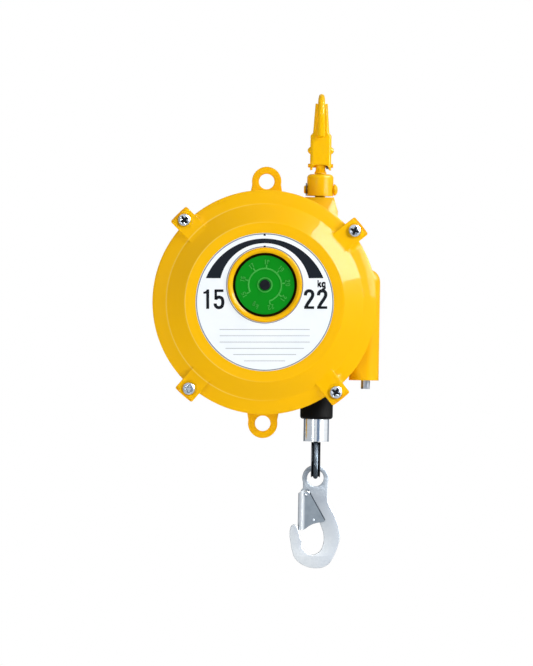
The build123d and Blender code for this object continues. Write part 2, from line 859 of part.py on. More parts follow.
# Dial pinion on the end of the barrel's journal
pinion_pitch_r = dial_module * pinion_teeth / 2
with BuildPart() as dial_pinion:
    with BuildSketch(front_face(journal_y - touch_gap)):
        pinion_root = pinion_pitch_r - dial_dedendum * dial_module
        pinion_tip = pinion_pitch_r + dial_addendum * dial_module
        Circle(pinion_root)
        teeth = tooth_ring(pinion_teeth, pinion_root, pinion_tip, dial_tooth, -90, pinion_tooth_taper)
        for corners in teeth:
            with BuildLine():
                Polyline(*corners, close=True)
            make_face()
        Circle(spigot_r + touch_gap, mode=Mode.SUBTRACT)
    extrude(amount=dial_gear_w - pinion_narrower)
dial_pinion.part.label = "dial_pinion"

# Mainspring: a spiral strip of half turns, each a step wider than the one before
spring_in_r = shaft_r + seat_gap
spring_front_y = barrel_front_y + barrel_disc + spring_side_gap
spring_w = pot_back_y - lid_hub_h - seat_gap - spring_front_y
spiral_room = barrel_r - barrel_wall - strip_t - touch_gap - spring_in_r
half_step = spiral_room / (2 * spring_turns)
with BuildPart() as mainspring:
    with BuildSketch(front_face(spring_front_y + spring_w)):
        for turn in range(2 * spring_turns):
            low = spring_in_r + half_step * (turn + 0.5)
            shift = half_step / 2 if turn % 2 else -half_step / 2
            with BuildLine():
                CenterArc((shift, 0), low, 180 * turn, 180)
                CenterArc((shift, 0), low + strip_t, 180 * turn, 180)
                Line((shift + low, 0), (shift + low + strip_t, 0))
                Line((shift - low, 0), (shift - low - strip_t, 0))
            make_face()
    extrude(amount=spring_w)
mainspring.part.label = "mainspring"

# Worm: right handed thread on a shaft that ends in a hexagon below the box
thread_len = worm_turns * worm_pitch
thread_low_z = drum_z - thread_len / 2
thread_root_r = worm_pitch_r - wheel_dedendum * module_wheel
thread_half = wheel_tooth_t / 2
with BuildPart() as worm:
    with BuildSketch(level(drum_z - box_bottom - seat_gap, worm_x, worm_y)):
        Circle(worm_shaft_r)
    extrude(amount=box_bottom + seat_gap + worm_up)
    with BuildSketch(level(thread_low_z - thread_runout, worm_x, worm_y)):
        Circle(thread_root_r)
    extrude(amount=thread_len + 2 * thread_runout)
    with BuildLine() as thread_path:
        Helix(worm_pitch, thread_len, thread_root_r, center=(worm_x, worm_y, thread_low_z))
    with BuildSketch(Plane(origin=thread_path.line @ 0, x_dir=(1, 0, 0), z_dir=thread_path.line % 0)):
        with BuildLine():
            Polyline(
                (-thread_sunk, -thread_half - thread_root_more),
                (worm_tip_r - thread_root_r, -thread_half + thread_tip_less),
                (worm_tip_r - thread_root_r, thread_half - thread_tip_less),
                (-thread_sunk, thread_half + thread_root_more),
                close=True,
            )
        make_face()
    sweep(path=thread_path.line, is_frenet=True)
    with BuildSketch(level(drum_z - box_bottom - seat_gap, worm_x, worm_y)):
        RegularPolygon(hex_flats / 2, 6, major_radius=False)
    extrude(amount=-hex_len)
worm.part.label = "worm"

# Plug that closes the worm's bore, and the bush at the upper end of the worm
with BuildPart() as worm_plug:
    with BuildSketch(level(drum_z - box_bottom, worm_x, worm_y)):
        Circle(worm_bore_r - touch_gap)
        Circle(worm_shaft_r + run_gap, mode=Mode.SUBTRACT)
    extrude(amount=plug_t)
    chamfer(worm_plug.edges().group_by(Axis.Z)[-1], plug_edge)
worm_plug.part.label = "worm_plug"

with BuildPart() as worm_bush:
    with BuildSketch(level(drum_z + worm_up - upper_bush_t, worm_x, worm_y)):
        Circle(upper_bush_r)
        Circle(worm_shaft_r + run_gap, mode=Mode.SUBTRACT)
    extrude(amount=upper_bush_t)
worm_bush.part.label = "worm_bush"

# Rope drum: cone with a spiral groove between two flanges, on a hub
cone_front_y = drum_front_y + front_flange_t
cone_back_y = rope_len_y + groove_r + groove_margin
drum_back_y = cone_back_y + rear_flange_t
cone_slope = (drum_large_r - load_offset) / rope_len_y
cone_front_r = load_offset - groove_lift + cone_slope * cone_front_y
land_r = load_offset - groove_r - seat_gap
land_back_y = groove_r
cone_back_r = load_offset - groove_lift + cone_slope * cone_back_y
drum_outline = [
    (shaft_r + touch_gap, drum_front_y),
    (front_flange_r, drum_front_y),
    (front_flange_r, cone_front_y),
    (land_r, cone_front_y),
    (land_r, land_back_y),
    (land_r + groove_r, land_back_y),
    (cone_back_r, cone_back_y),
    (rear_flange_r, cone_back_y),
    (rear_flange_r, drum_back_y),
    (cone_back_r - drum_shell, drum_back_y),
    (cone_front_r - drum_shell, drum_front_y + drum_web),
    (hub_r, drum_front_y + drum_web),
    (hub_r, drum_back_y),
    (shaft_r + touch_gap, drum_back_y),
]


def wound_path():
    """The line of the rope on the drum, from where it leaves at the right, back to its anchored end."""
    with BuildLine() as turns:
        Helix(
            drum_pitch,
            rope_len_y,
            load_offset,
            center=(drum_x, 0, drum_z),
            direction=(0, 1, 0),
            cone_angle=rope_cone,
            lefthand=True,
        )
    return turns.line.rotate(drum_axis, 90)


rope_turns = wound_path()
key_y = drum_front_y + key_start
with BuildPart() as rope_drum:
    revolve(outline(drum_outline), axis=drum_axis)
    with BuildSketch(Plane(origin=rope_turns @ 0, z_dir=rope_turns % 0)):
        Circle(groove_r)
    sweep(path=rope_turns, is_frenet=True, mode=Mode.SUBTRACT)
    with BuildSketch(front_face(drum_back_y)):
        with Locations((0, shaft_r)):
            Rectangle(key_w + 2 * touch_gap, key_w)
    extrude(amount=drum_back_y - key_y + key_end_gap, mode=Mode.SUBTRACT)
    with BuildSketch(front_face(drum_back_y)):
        with Locations((0, pawl_ring_r)):
            Circle(pawl_pin_r + touch_gap)
    extrude(amount=rear_flange_t, mode=Mode.SUBTRACT)
rope_drum.part.label = "rope_drum"

with BuildPart() as rope_windings:
    with BuildSketch(Plane(origin=rope_turns @ 0, z_dir=rope_turns % 0)):
        Circle(rope_r)
    sweep(path=rope_turns, is_frenet=True)
rope_windings.part.label = "rope_windings"

# Drum shaft, its key, and the rear bearing
bearing_back_y = bearing_front_y + bearing_w
shaft_outline = [
    (0, shaft_front_y),
    (shaft_r - shaft_edge, shaft_front_y),
    (shaft_r, shaft_front_y + shaft_edge),
    (shaft_r, bearing_front_y - shoulder_gap),
    (journal_r, bearing_front_y - shoulder_gap),
    (journal_r, bearing_back_y + shaft_over),
    (0, bearing_back_y + shaft_over),
]
with BuildPart() as drum_shaft:
    revolve(outline(shaft_outline), axis=drum_axis)
    with BuildSketch(front_face(key_y + key_len)):
        with Locations((0, shaft_r)):
            Rectangle(key_w + 2 * touch_gap, key_w)
    extrude(amount=key_len, mode=Mode.SUBTRACT)
drum_shaft.part.label = "drum_shaft"

with BuildPart() as shaft_key:
    with BuildSketch(front_face(key_y + key_len - touch_gap)):
        with Locations((0, shaft_r)):
            Rectangle(key_w, key_w - 2 * touch_gap)
    extrude(amount=key_len - 2 * touch_gap)
shaft_key.part.label = "shaft_key"

with BuildPart() as bearing_outer:
    revolve(ring_outline(bearing_r - race_t, bearing_r, bearing_front_y, bearing_back_y), axis=drum_axis)
bearing_outer.part.label = "bearing_outer"

inner_race_r = journal_r + touch_gap
with BuildPart() as bearing_inner:
    race_face = ring_outline(inner_race_r, journal_r + inner_race_t, bearing_front_y, bearing_back_y)
    revolve(race_face, axis=drum_axis)
bearing_inner.part.label = "bearing_inner"

ball_fit_r = (bearing_r - race_t - (journal_r + inner_race_t)) / 2 - run_gap
with BuildPart() as bearing_balls:
    with Locations(Plane(origin=(drum_x, (bearing_front_y + bearing_back_y) / 2, drum_z), z_dir=(0, 1, 0))):
        with PolarLocations((bearing_r - race_t + journal_r + inner_race_t) / 2, balls):
            Sphere(ball_fit_r)
bearing_balls.part.label = "bearing_balls"

with BuildPart() as circlip:
    clip_y = bearing_back_y + circlip_gap
    clip_face = ring_outline(journal_r + touch_gap, journal_r + circlip_w, clip_y, clip_y + circlip_t)
    revolve(clip_face, axis=drum_axis)
    with BuildSketch(front_face(clip_y + circlip_t)):
        with Locations((0, -journal_r)):
            Rectangle(circlip_open, 2 * circlip_open)
    extrude(amount=circlip_t, mode=Mode.SUBTRACT)
circlip.part.label = "circlip"

# Rear cap over the bearing, with its screws
with BuildPart() as rear_cap:
    cap_y = case_back_y + back_boss_h
    cap_face = outline(
        [
            (0, cap_y),
            (rear_cap_r, cap_y),
            (rear_cap_r, cap_y + rear_cap_t - rear_cap_edge),
            (rear_cap_r - rear_cap_edge, cap_y + rear_cap_t),
            (0, cap_y + rear_cap_t),
        ]
    )
    revolve(cap_face, axis=drum_axis)
    with BuildSketch(front_face(cap_y + rear_cap_t)):
        with PolarLocations(cap_screw_circle_r, cap_screws_n, start_angle=90):
            Circle(cap_screw_r + touch_gap)
    extrude(amount=rear_cap_t, mode=Mode.SUBTRACT)
rear_cap.part.label = "rear_cap"

with BuildPart() as cap_screws:
    with BuildSketch(front_face(cap_y + rear_cap_t)):
        with PolarLocations(cap_screw_circle_r, cap_screws_n, start_angle=90):
            Circle(cap_screw_r)
    extrude(amount=rear_cap_t + 2 * back_boss_h - cap_screw_short)
    with BuildSketch(front_face(cap_y + rear_cap_t)):
        with PolarLocations(cap_screw_circle_r, cap_screws_n, start_angle=90):
            Circle(cap_screw_head_r)
    extrude(amount=-cap_screw_head_h)
    fillet(cap_screws.edges().filter_by(GeomType.CIRCLE).group_by(Axis.Y)[-1], cap_screw_head_h / 2)
cap_screws.part.label = "cap_screws"

# Safety pawl on the back of the drum
pawl_y = drum_back_y + seat_gap
with BuildPart() as pawl_pin:
    with BuildSketch(front_face(drum_back_y - rear_flange_t)):
        with Locations((0, pawl_ring_r)):
            Circle(pawl_pin_r)
    extrude(amount=-rear_flange_t - pawl_pin_out)
    with BuildSketch(front_face(pawl_y + pawl_t + seat_gap)):
        with Locations((0, pawl_ring_r)):
            Circle(pawl_pin_head_r)
    extrude(amount=-pawl_pin_head_t)
pawl_pin.part.label = "pawl_pin"

with BuildPart() as safety_pawl:
    with BuildSketch(front_face(pawl_y)):
        with Locations((0, pawl_ring_r)):
            Circle(pawl_r)
        with BuildLine():
            Polyline(
                (0, pawl_ring_r - pawl_r),
                (pawl_len - pawl_nose_lean, pawl_ring_r - pawl_nose_drop - pawl_nose_w),
                (pawl_len, pawl_ring_r - pawl_nose_drop),
                (pawl_len - pawl_nose_drop, pawl_ring_r),
                (0, pawl_ring_r + pawl_r),
                close=True,
            )
        make_face()
        with Locations((0, pawl_ring_r)):
            Circle(pawl_pin_r + run_gap, mode=Mode.SUBTRACT)
    extrude(amount=-pawl_t)
safety_pawl.part.label = "safety_pawl"

# Swivel cap, hung on the hook's shank, and the cross pin that carries the case
cap_profile = [
    (0, cap_z),
    (cap_r, cap_z),
    (cap_r, cap_z + cap_h),
    (0, cap_z + cap_h),
]
hook_section = Plane(origin=(0, 0, 0), x_dir=(1, 0, 0), z_dir=(0, -1, 0))
load_axis = Axis((0, 0, 0), (0, 0, 1))
with BuildPart() as swivel_cap:
    revolve(outline(cap_profile, hook_section), axis=load_axis)
    fillet(swivel_cap.edges().filter_by(GeomType.CIRCLE).group_by(Axis.Z)[-1], cap_edge)
    with BuildSketch(level(cap_z)):
        Circle(cap_bore_r)
    extrude(amount=cap_h - cap_top, mode=Mode.SUBTRACT)
    with BuildSketch(level(cap_z)):
        Circle(shank_r + 2 * run_gap)
    extrude(amount=cap_h, mode=Mode.SUBTRACT)
    with BuildSketch(across(-cap_r, 0, -pin_drop)):
        Circle(pin_r + touch_gap)
    extrude(amount=2 * cap_r, mode=Mode.SUBTRACT)
swivel_cap.part.label = "swivel_cap"

pin_section = Plane(origin=(0, 0, -pin_drop), x_dir=(1, 0, 0), z_dir=(0, -1, 0))
head_x = cap_r + head_gap
with BuildPart() as hanger_pin:
    with BuildSketch(pin_section):
        with BuildLine():
            Polyline(
                (head_x + pin_head_rim, pin_head_r),
                (head_x, pin_head_r),
                (head_x, pin_r),
                (-pin_left + pin_edge, pin_r),
                (-pin_left, pin_r - pin_edge),
                (-pin_left, 0),
                (head_x + pin_head_h, 0),
            )
            ThreePointArc(
                (head_x + pin_head_h, 0),
                (head_x + pin_dome[0], pin_dome[1]),
                (head_x + pin_head_rim, pin_head_r),
            )
        make_face()
    revolve(axis=Axis((0, 0, -pin_drop), (1, 0, 0)))
hanger_pin.part.label = "hanger_pin"

with BuildPart() as pin_clip:
    with BuildSketch(across(-cap_r - seat_gap, 0, -pin_drop)):
        Circle(clip_r)
        Circle(pin_r + touch_gap, mode=Mode.SUBTRACT)
        with Locations((0, -clip_r)):
            Rectangle(clip_open, clip_r, mode=Mode.SUBTRACT)
    extrude(amount=-clip_t)
pin_clip.part.label = "pin_clip"

with BuildPart() as thrust_washer:
    with BuildSketch(level(ceiling_z - touch_gap)):
        Circle(nut_r)
        Circle(shank_r + 2 * run_gap, mode=Mode.SUBTRACT)
    extrude(amount=-washer_t)
thrust_washer.part.label = "thrust_washer"

# Upper hook: a side outline given its thickness by a taper seen from the front
nut_top_z = ceiling_z - washer_t - 3 * touch_gap
shank_bottom_z = nut_top_z - nut_h - shank_over
bowl_z = -bowl_r
outer_r = bowl_r + hook_top
tip_centre = Vector(tip_y, -tip_drop)


def tangent_point(centre, radius, other, other_radius, side):
    """Where the common outside tangent of two circles touches the first one."""
    gap = other - centre
    lean = acos((radius - other_radius) / gap.length)
    heading = atan2(gap.Y, gap.X) + side * lean
    return centre + Vector(cos(heading), sin(heading)) * radius


bowl_centre = Vector(0, bowl_z)
tip_outer = tangent_point(tip_centre, tip_r, bowl_centre, outer_r, 1)
bowl_tip = tangent_point(bowl_centre, outer_r, tip_centre, tip_r, -1)
tip_inner = tip_centre + Vector(tip_r, 0)
tip_low = tip_centre + Vector(0, -tip_r)
with BuildPart() as upper_hook:
    with BuildSketch(Plane.YZ):
        with BuildLine():
            ThreePointArc((bowl_tip.X, bowl_tip.Y), (0, bowl_z + outer_r), (outer_r, bowl_z))
            Spline(
                (outer_r, bowl_z),
                (spine_y + spine_half, -spine_drop),
                (hook_boss_r, -latch_pivot_drop + boss_back_rise),
                tangents=[(0, -1), (0, -1)],
            )
            Line((hook_boss_r, -latch_pivot_drop + boss_back_rise), (hook_boss_r, -latch_pivot_drop))
            ThreePointArc(
                (hook_boss_r, -latch_pivot_drop),
                (0, -latch_pivot_drop - hook_boss_r),
                (-hook_boss_r, -latch_pivot_drop),
            )
            Line((-hook_boss_r, -latch_pivot_drop), (-hook_boss_r, -latch_pivot_drop + boss_front_rise))
            Spline(
                (-hook_boss_r, -latch_pivot_drop + boss_front_rise),
                (spine_y - spine_half, -spine_drop - spine_step),
                (bowl_r, bowl_z),
                tangents=[(boss_front_lean, 1), (0, 1)],
            )
            ThreePointArc((bowl_r, bowl_z), (0, 0), (-bowl_r, bowl_z))
            Line((-bowl_r, bowl_z), (tip_inner.X, tip_inner.Y))
            ThreePointArc((tip_inner.X, tip_inner.Y), (tip_low.X, tip_low.Y), (tip_outer.X, tip_outer.Y))
            Line((tip_outer.X, tip_outer.Y), (bowl_tip.X, bowl_tip.Y))
        make_face()
    extrude(amount=hook_boss_t / 2, both=True)
    with BuildSketch(Plane(origin=(0, 0, 0), x_dir=(1, 0, 0), z_dir=(0, -1, 0))):
        with BuildLine():
            Polyline(
                (-hook_t_top / 2, hook_top),
                (-hook_t_mid / 2, -tip_drop),
                (-hook_boss_t / 2, -latch_pivot_drop + hook_boss_r + boss_taper_rise),
                (-hook_boss_t / 2, -latch_pivot_drop - 2 * hook_boss_r),
                (hook_boss_t / 2, -latch_pivot_drop - 2 * hook_boss_r),
                (hook_boss_t / 2, -latch_pivot_drop + hook_boss_r + boss_taper_rise),
                (hook_t_mid / 2, -tip_drop),
                (hook_t_top / 2, hook_top),
                close=True,
            )
        make_face()
    extrude(amount=3 * outer_r, both=True, mode=Mode.INTERSECT)
    with BuildSketch(level(-latch_pivot_drop)):
        Circle(shank_r)
    extrude(amount=shank_bottom_z + latch_pivot_drop)
    with BuildSketch(across(-hook_boss_t, 0, -latch_pivot_drop)):
        Circle(latch_pin_r + touch_gap)
    extrude(amount=2 * hook_boss_t, mode=Mode.SUBTRACT)
upper_hook.part.label = "upper_hook"

with BuildPart() as hook_nut:
    with BuildSketch(level(nut_top_z)):
        Circle(nut_r)
        Circle(shank_r + touch_gap, mode=Mode.SUBTRACT)
    extrude(amount=-nut_h)
    chamfer(hook_nut.edges().filter_by(GeomType.CIRCLE).sort_by(Axis.Z)[0], nut_edge)
hook_nut.part.label = "hook_nut"

with BuildPart() as latch_pin:
    with BuildSketch(across(-latch_pin_len / 2, 0, -latch_pivot_drop)):
        Circle(latch_pin_r)
    extrude(amount=latch_pin_len)
    chamfer(latch_pin.edges().filter_by(GeomType.CIRCLE), pin_end_edge)
latch_pin.part.label = "latch_pin"

# Upper latch: a folded channel, made as a solid bent shape that is then hollowed
latch_low = -latch_pivot_drop - latch_bottom
latch_step_z = -latch_pivot_drop + latch_step
latch_top_z = -latch_top_drop
with BuildPart() as upper_latch:
    with BuildSketch(front_face(latch_front_y, 0, 0)):
        with BuildLine():
            Polyline(
                (-latch_w / 2, latch_low),
                (latch_w / 2, latch_low),
                (latch_w / 2, latch_step_z - latch_neck_low),
                (latch_neck_w / 2, latch_step_z + latch_neck_high),
                (latch_tip_w / 2, latch_top_z),
                (-latch_tip_w / 2, latch_top_z),
                (-latch_neck_w / 2, latch_step_z + latch_neck_high),
                (-latch_w / 2, latch_step_z - latch_neck_low),
                close=True,
            )
        make_face()
        with Locations((0, latch_low)):
            Circle(latch_arch_r, mode=Mode.SUBTRACT)
    extrude(amount=latch_front_y - latch_cheek_r)
    side_back_y = latch_front_y + latch_side
    with BuildSketch(across(-latch_w, 0, 0)):
        with BuildLine():
            Polyline(
                (latch_front_y, latch_top_z),
                (latch_front_y, latch_low),
                (0, latch_low),
                (latch_cheek_r, -latch_pivot_drop),
                (side_back_y + latch_flare, latch_step_z - latch_flare_drop),
                (side_back_y, latch_step_z),
                (latch_front_y + latch_tip_side, latch_top_z),
                close=True,
            )
        make_face()
        with Locations((0, -latch_pivot_drop)):
            Circle(latch_cheek_r)
    extrude(amount=2 * latch_w, mode=Mode.INTERSECT)
    with BuildSketch(front_face(latch_front_y + latch_t, 0, 0)):
        with BuildLine():
            Polyline(
                (-latch_w / 2 + latch_t, latch_low - latch_over),
                (latch_w / 2 - latch_t, latch_low - latch_over),
                (latch_w / 2 - latch_t, latch_step_z - latch_neck_low - latch_fold),
                (latch_neck_w / 2 - latch_t, latch_step_z + latch_neck_high - latch_fold),
                (latch_tip_w / 2 - latch_t, latch_top_z + latch_over),
                (-latch_tip_w / 2 + latch_t, latch_top_z + latch_over),
                (-latch_neck_w / 2 + latch_t, latch_step_z + latch_neck_high - latch_fold),
                (-latch_w / 2 + latch_t, latch_step_z - latch_neck_low - latch_fold),
                close=True,
            )
        make_face()
    extrude(amount=-latch_inside, mode=Mode.SUBTRACT)
    for side in (1, -1):
        with BuildSketch(across(side * (latch_w / 2 - latch_t / 2), bump_y, -latch_pivot_drop + bump_rise)):
            Circle(bump_r)
        extrude(amount=side * (bump_h + latch_t / 2))
    fillet(upper_latch.edges().filter_by(GeomType.CIRCLE).group_by(Axis.X)[0], bump_edge)
    fillet(upper_latch.edges().filter_by(GeomType.CIRCLE).group_by(Axis.X)[-1], bump_edge)
    with BuildSketch(across(-latch_w, 0, -latch_pivot_drop)):
        Circle(latch_pin_r + run_gap)
    extrude(amount=2 * latch_w, mode=Mode.SUBTRACT)
upper_latch.part.label = "upper_latch"

coil_r = latch_pin_r + coil_wire_r + seat_gap
coil_pitch = 2 * coil_wire_r + 2 * run_gap
coil_x = hook_boss_t / 2 + coil_wire_r + seat_gap
with BuildPart() as latch_spring:
    with BuildLine() as coil:
        Helix(
            coil_pitch,
            coil_turns * coil_pitch,
            coil_r,
            center=(coil_x, 0, -latch_pivot_drop),
            direction=(1, 0, 0),
        )
    with BuildSketch(Plane(origin=coil.line @ 0, z_dir=coil.line % 0)):
        Circle(coil_wire_r)
    sweep(path=coil.line, is_frenet=True)
latch_spring.part.label = "latch_spring"

# Rope guide in the bottom of the case
with BuildPart() as rope_guide:
    with BuildSketch(level(seat_z)):
        Circle(guide_flange_r)
    extrude(amount=guide_flange_t)
    with BuildSketch(level(seat_z)):
        Circle(guide_r - touch_gap)
    extrude(amount=guide_flange_t + guide_neck)
    with BuildSketch(level(seat_z)):
        Circle(guide_bore_r)
    extrude(amount=guide_flange_t + guide_neck, mode=Mode.SUBTRACT)
    fillet(rope_guide.edges().filter_by(GeomType.CIRCLE).sort_by(SortBy.RADIUS)[0:2], guide_edge)
rope_guide.part.label = "rope_guide"

# Rubber buffer, sleeve with its two set screws
with BuildPart() as rubber_buffer:
    with BuildSketch(level(buffer_z)):
        Circle(buffer_r)
        Circle(buffer_bore_r, mode=Mode.SUBTRACT)
    extrude(amount=-buffer_h)
    fillet(rubber_buffer.edges().filter_by(GeomType.CIRCLE).sort_by(SortBy.RADIUS)[-2:], buffer_edge)
rubber_buffer.part.label = "rubber_buffer"

with BuildPart() as stopper_sleeve:
    with BuildSketch(level(sleeve_z)):
        Circle(sleeve_r)
        Circle(rope_r + touch_gap, mode=Mode.SUBTRACT)
    extrude(amount=-sleeve_h)
    fillet(stopper_sleeve.edges().filter_by(GeomType.CIRCLE).group_by(Axis.Z)[0][-1], sleeve_edge)
    with BuildSketch(level(loop_z)):
        with Locations(Rotation(0, 0, 90)):
            SlotCenterToCenter(2 * rope_split, 2 * (rope_r + seat_gap))
    extrude(amount=sleeve_pocket, mode=Mode.SUBTRACT)
    for drop in set_screw_drops:
        with BuildSketch(Plane(origin=(0, sleeve_r, sleeve_z - drop), z_dir=(0, 1, 0))):
            Circle(set_screw_r + touch_gap)
        extrude(amount=-sleeve_r + rope_r / 2, mode=Mode.SUBTRACT)
stopper_sleeve.part.label = "stopper_sleeve"

with BuildPart() as set_screws:
    for drop in set_screw_drops:
        screw_end = Plane(origin=(0, sleeve_r - set_screw_sunk, sleeve_z - drop), z_dir=(0, 1, 0))
        with BuildSketch(screw_end):
            Circle(set_screw_r)
        extrude(amount=-set_screw_len)
        with BuildSketch(screw_end):
            RegularPolygon(set_screw_socket_r, 6)
        extrude(amount=-set_screw_socket, mode=Mode.SUBTRACT)
set_screws.part.label = "set_screws"

# The fall of the rope, from where it leaves the drum to the pocket in the sleeve
fall_bottom_z = loop_z + sleeve_pocket + touch_gap
with BuildPart() as load_rope:
    with BuildSketch(level(drum_z - seat_gap)):
        Circle(rope_r)
    extrude(amount=fall_bottom_z - drum_z + seat_gap)
load_rope.part.label = "load_rope"

# Rope loop and thimble: two legs out of the sleeve and one bend round the thimble
loop_bend_r = thimble_in_r + thimble_base + rope_r
leg_top = sleeve_pocket - leg_end_gap
bend = Vector(0, bend_z)
entry = Vector(rope_split, loop_z)
leg_gap = entry - bend
leg_heading = atan2(leg_gap.X, leg_gap.Y) + acos(loop_bend_r / leg_gap.length)
touch = Vector(sin(leg_heading), cos(leg_heading)) * loop_bend_r + bend


def loop_path():
    """The line of the rope's loop, in the plane that faces +X."""
    with BuildLine(Plane.YZ) as path:
        Line((rope_split, loop_z + leg_top), (entry.X, entry.Y))
        Line((entry.X, entry.Y), (touch.X, touch.Y))
        ThreePointArc((touch.X, touch.Y), (0, bend_z - loop_bend_r), (-touch.X, touch.Y))
        Line((-touch.X, touch.Y), (-entry.X, entry.Y))
        Line((-entry.X, entry.Y), (-rope_split, loop_z + leg_top))
    return path.line


loop_line = loop_path()
with BuildPart() as rope_loop:
    with BuildSketch(level(loop_z + leg_top)):
        with Locations((0, rope_split)):
            Circle(rope_r)
    sweep(path=loop_line, transition=Transition.ROUND)
rope_loop.part.label = "rope_loop"

apex_rise = loop_drop - thimble_top_gap


def teardrop(radius, tip_half):
    """A drop shaped face about the bend: a round bottom and two sides that close towards the sleeve."""
    top = bend_z + apex_rise
    side = Vector(tip_half, apex_rise)
    turn = atan2(side.X, side.Y) + acos(radius / side.length)
    y = sin(turn) * radius
    z = cos(turn) * radius + bend_z
    with BuildSketch(Plane.YZ) as drop:
        with BuildLine():
            Line((tip_half, top), (y, z))
            ThreePointArc((y, z), (0, bend_z - radius), (-y, z))
            Line((-y, z), (-tip_half, top))
            Line((-tip_half, top), (tip_half, top))
        make_face()
    return drop.sketch


thimble_out_r = thimble_in_r + thimble_rise
with BuildPart() as thimble:
    extrude(teardrop(thimble_out_r, thimble_tip_out), amount=thimble_half_w, both=True)
    extrude(teardrop(thimble_in_r, thimble_tip_in), amount=thimble_half_w, both=True, mode=Mode.SUBTRACT)
    with BuildSketch(level(loop_z + leg_top)):
        with Locations((0, rope_split)):
            Circle(rope_r + touch_gap)
    sweep(path=loop_line, transition=Transition.ROUND, mode=Mode.SUBTRACT)
thimble.part.label = "thimble"

# Snap hook: flat forged hook with a round eye; points are (x, z) from the eye's centre
snap_face = front_face(-snap_t / 2, 0, eye_z)
with BuildPart() as snap_hook:
    with BuildSketch(snap_face):
        with BuildLine():
            Line((-neck_half, neck_top), (neck_half, neck_top))
            outer_curve = [(neck_half, neck_top), (neck_half, back_straight), *snap_back, snap_tip[0]]
            Spline(*outer_curve, tangents=[(0, -1), (0, 1)])
            ThreePointArc(*snap_tip)
            Spline(snap_tip[2], *snap_inside, snap_throat, tangents=[(0, -1), (-throat_lean, 1)])
            Line(snap_throat, (-neck_half, neck_low))
            Line((-neck_half, neck_low), (-neck_half, neck_top))
        make_face()
        Circle(eye_r)
        with Locations((rivet_x, rivet_z)):
            Circle(rivet_lobe_r)
        Circle(eye_hole_r, mode=Mode.SUBTRACT)
    extrude(amount=-snap_t)
    with BuildSketch(front_face(-snap_t / 2, rivet_x, eye_z + rivet_z)):
        Circle(rivet_r + touch_gap)
    extrude(amount=-snap_t, mode=Mode.SUBTRACT)
snap_hook.part.label = "snap_hook"

gate_half = snap_t / 2 + gate_gap + gate_t
with BuildPart() as gate_pin:
    with BuildSketch(front_face(-gate_half - rivet_over, rivet_x, eye_z + rivet_z)):
        Circle(rivet_r)
    extrude(amount=-2 * (gate_half + rivet_over))
    chamfer(gate_pin.edges().filter_by(GeomType.CIRCLE), rivet_edge)
gate_pin.part.label = "gate_pin"

# Gate: a sheet folded over the hook's throat, with its web at the left
with BuildPart() as snap_gate:
    with BuildSketch(front_face(-gate_half, 0, eye_z)):
        with BuildLine():
            gate_foot = [(gate_low_x, rivet_z - gate_drop), (gate_edge_x, rivet_z - gate_drop)]
            Polyline((gate_edge_x, rivet_z), *gate_top, *gate_side, *gate_foot, close=True)
        make_face()
    extrude(amount=-2 * gate_half)
    fillet(snap_gate.edges().filter_by(Axis.Z).sort_by(Axis.X)[0:2], gate_fold_r)
    with BuildSketch(front_face(-snap_t / 2 - gate_gap, 0, eye_z)):
        with Locations((gate_edge_x + gate_t + gate_reach / 2, rivet_z - gate_drop / 2)):
            Rectangle(gate_reach, 2 * gate_drop)
    extrude(amount=-snap_t - 2 * gate_gap, mode=Mode.SUBTRACT)
    with BuildSketch(front_face(-gate_half, rivet_x, eye_z + rivet_z)):
        Circle(rivet_r + run_gap)
    extrude(amount=-2 * gate_half, mode=Mode.SUBTRACT)
    with BuildSketch(front_face(-gate_half, gate_hole[0], eye_z + gate_hole[1])):
        Circle(gate_hole_r)
    extrude(amount=-gate_t, mode=Mode.SUBTRACT)
snap_gate.part.label = "snap_gate"

with BuildPart() as gate_spring:
    leaf_x = gate_edge_x + gate_t + touch_gap
    with BuildSketch(front_face(-leaf_w / 2, 0, eye_z + rivet_z)):
        with BuildLine():
            Polyline(
                (leaf_x, -leaf_low),
                (leaf_x + leaf_t, -leaf_low),
                (leaf_x + leaf_t, -leaf_bend),
                (leaf_x + leaf_t + leaf_out, -leaf_top),
                (leaf_x + leaf_out, -leaf_top),
                (leaf_x, -leaf_bend),
                close=True,
            )
        make_face()
    extrude(amount=-leaf_w)
gate_spring.part.label = "gate_spring"

pieces = [
    upper_hook,
    hook_nut,
    latch_pin,
    upper_latch,
    latch_spring,
    swivel_cap,
    hanger_pin,
    pin_clip,
    thrust_washer,
    rear_case,
    front_cover,
    cover_screws,
    rating_plate,
    front_bush,
    rope_guide,
    bearing_outer,
    bearing_balls,
    worm_plug,
    worm_bush,
    dial_screw,
    rear_cap,
    cap_screws,
    spring_barrel,
    barrel_lid,
    lid_screws,
    worm_wheel,
    dial_pinion,
    mainspring,
    dial,
    worm,
    rope_drum,
    rope_windings,
    drum_shaft,
    shaft_key,
    bearing_inner,
    circlip,
    pawl_pin,
    safety_pawl,
    rubber_buffer,
    stopper_sleeve,
    set_screws,
    load_rope,
    rope_loop,
    thimble,
    snap_hook,
    gate_pin,
    snap_gate,
    gate_spring,
]
os.makedirs("parts", exist_ok=True)
for piece in pieces:
    export_step(piece.part, f"parts/{piece.part.label}.step")
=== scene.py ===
"""Looks of a spring balancer: a yellow cast case on a swivel hook, with a wire rope and a snap hook below."""

import json
from math import copysign, cos, pi, radians, sin, sqrt, tau

import bmesh
import bpy
from mathutils import Matrix, Vector


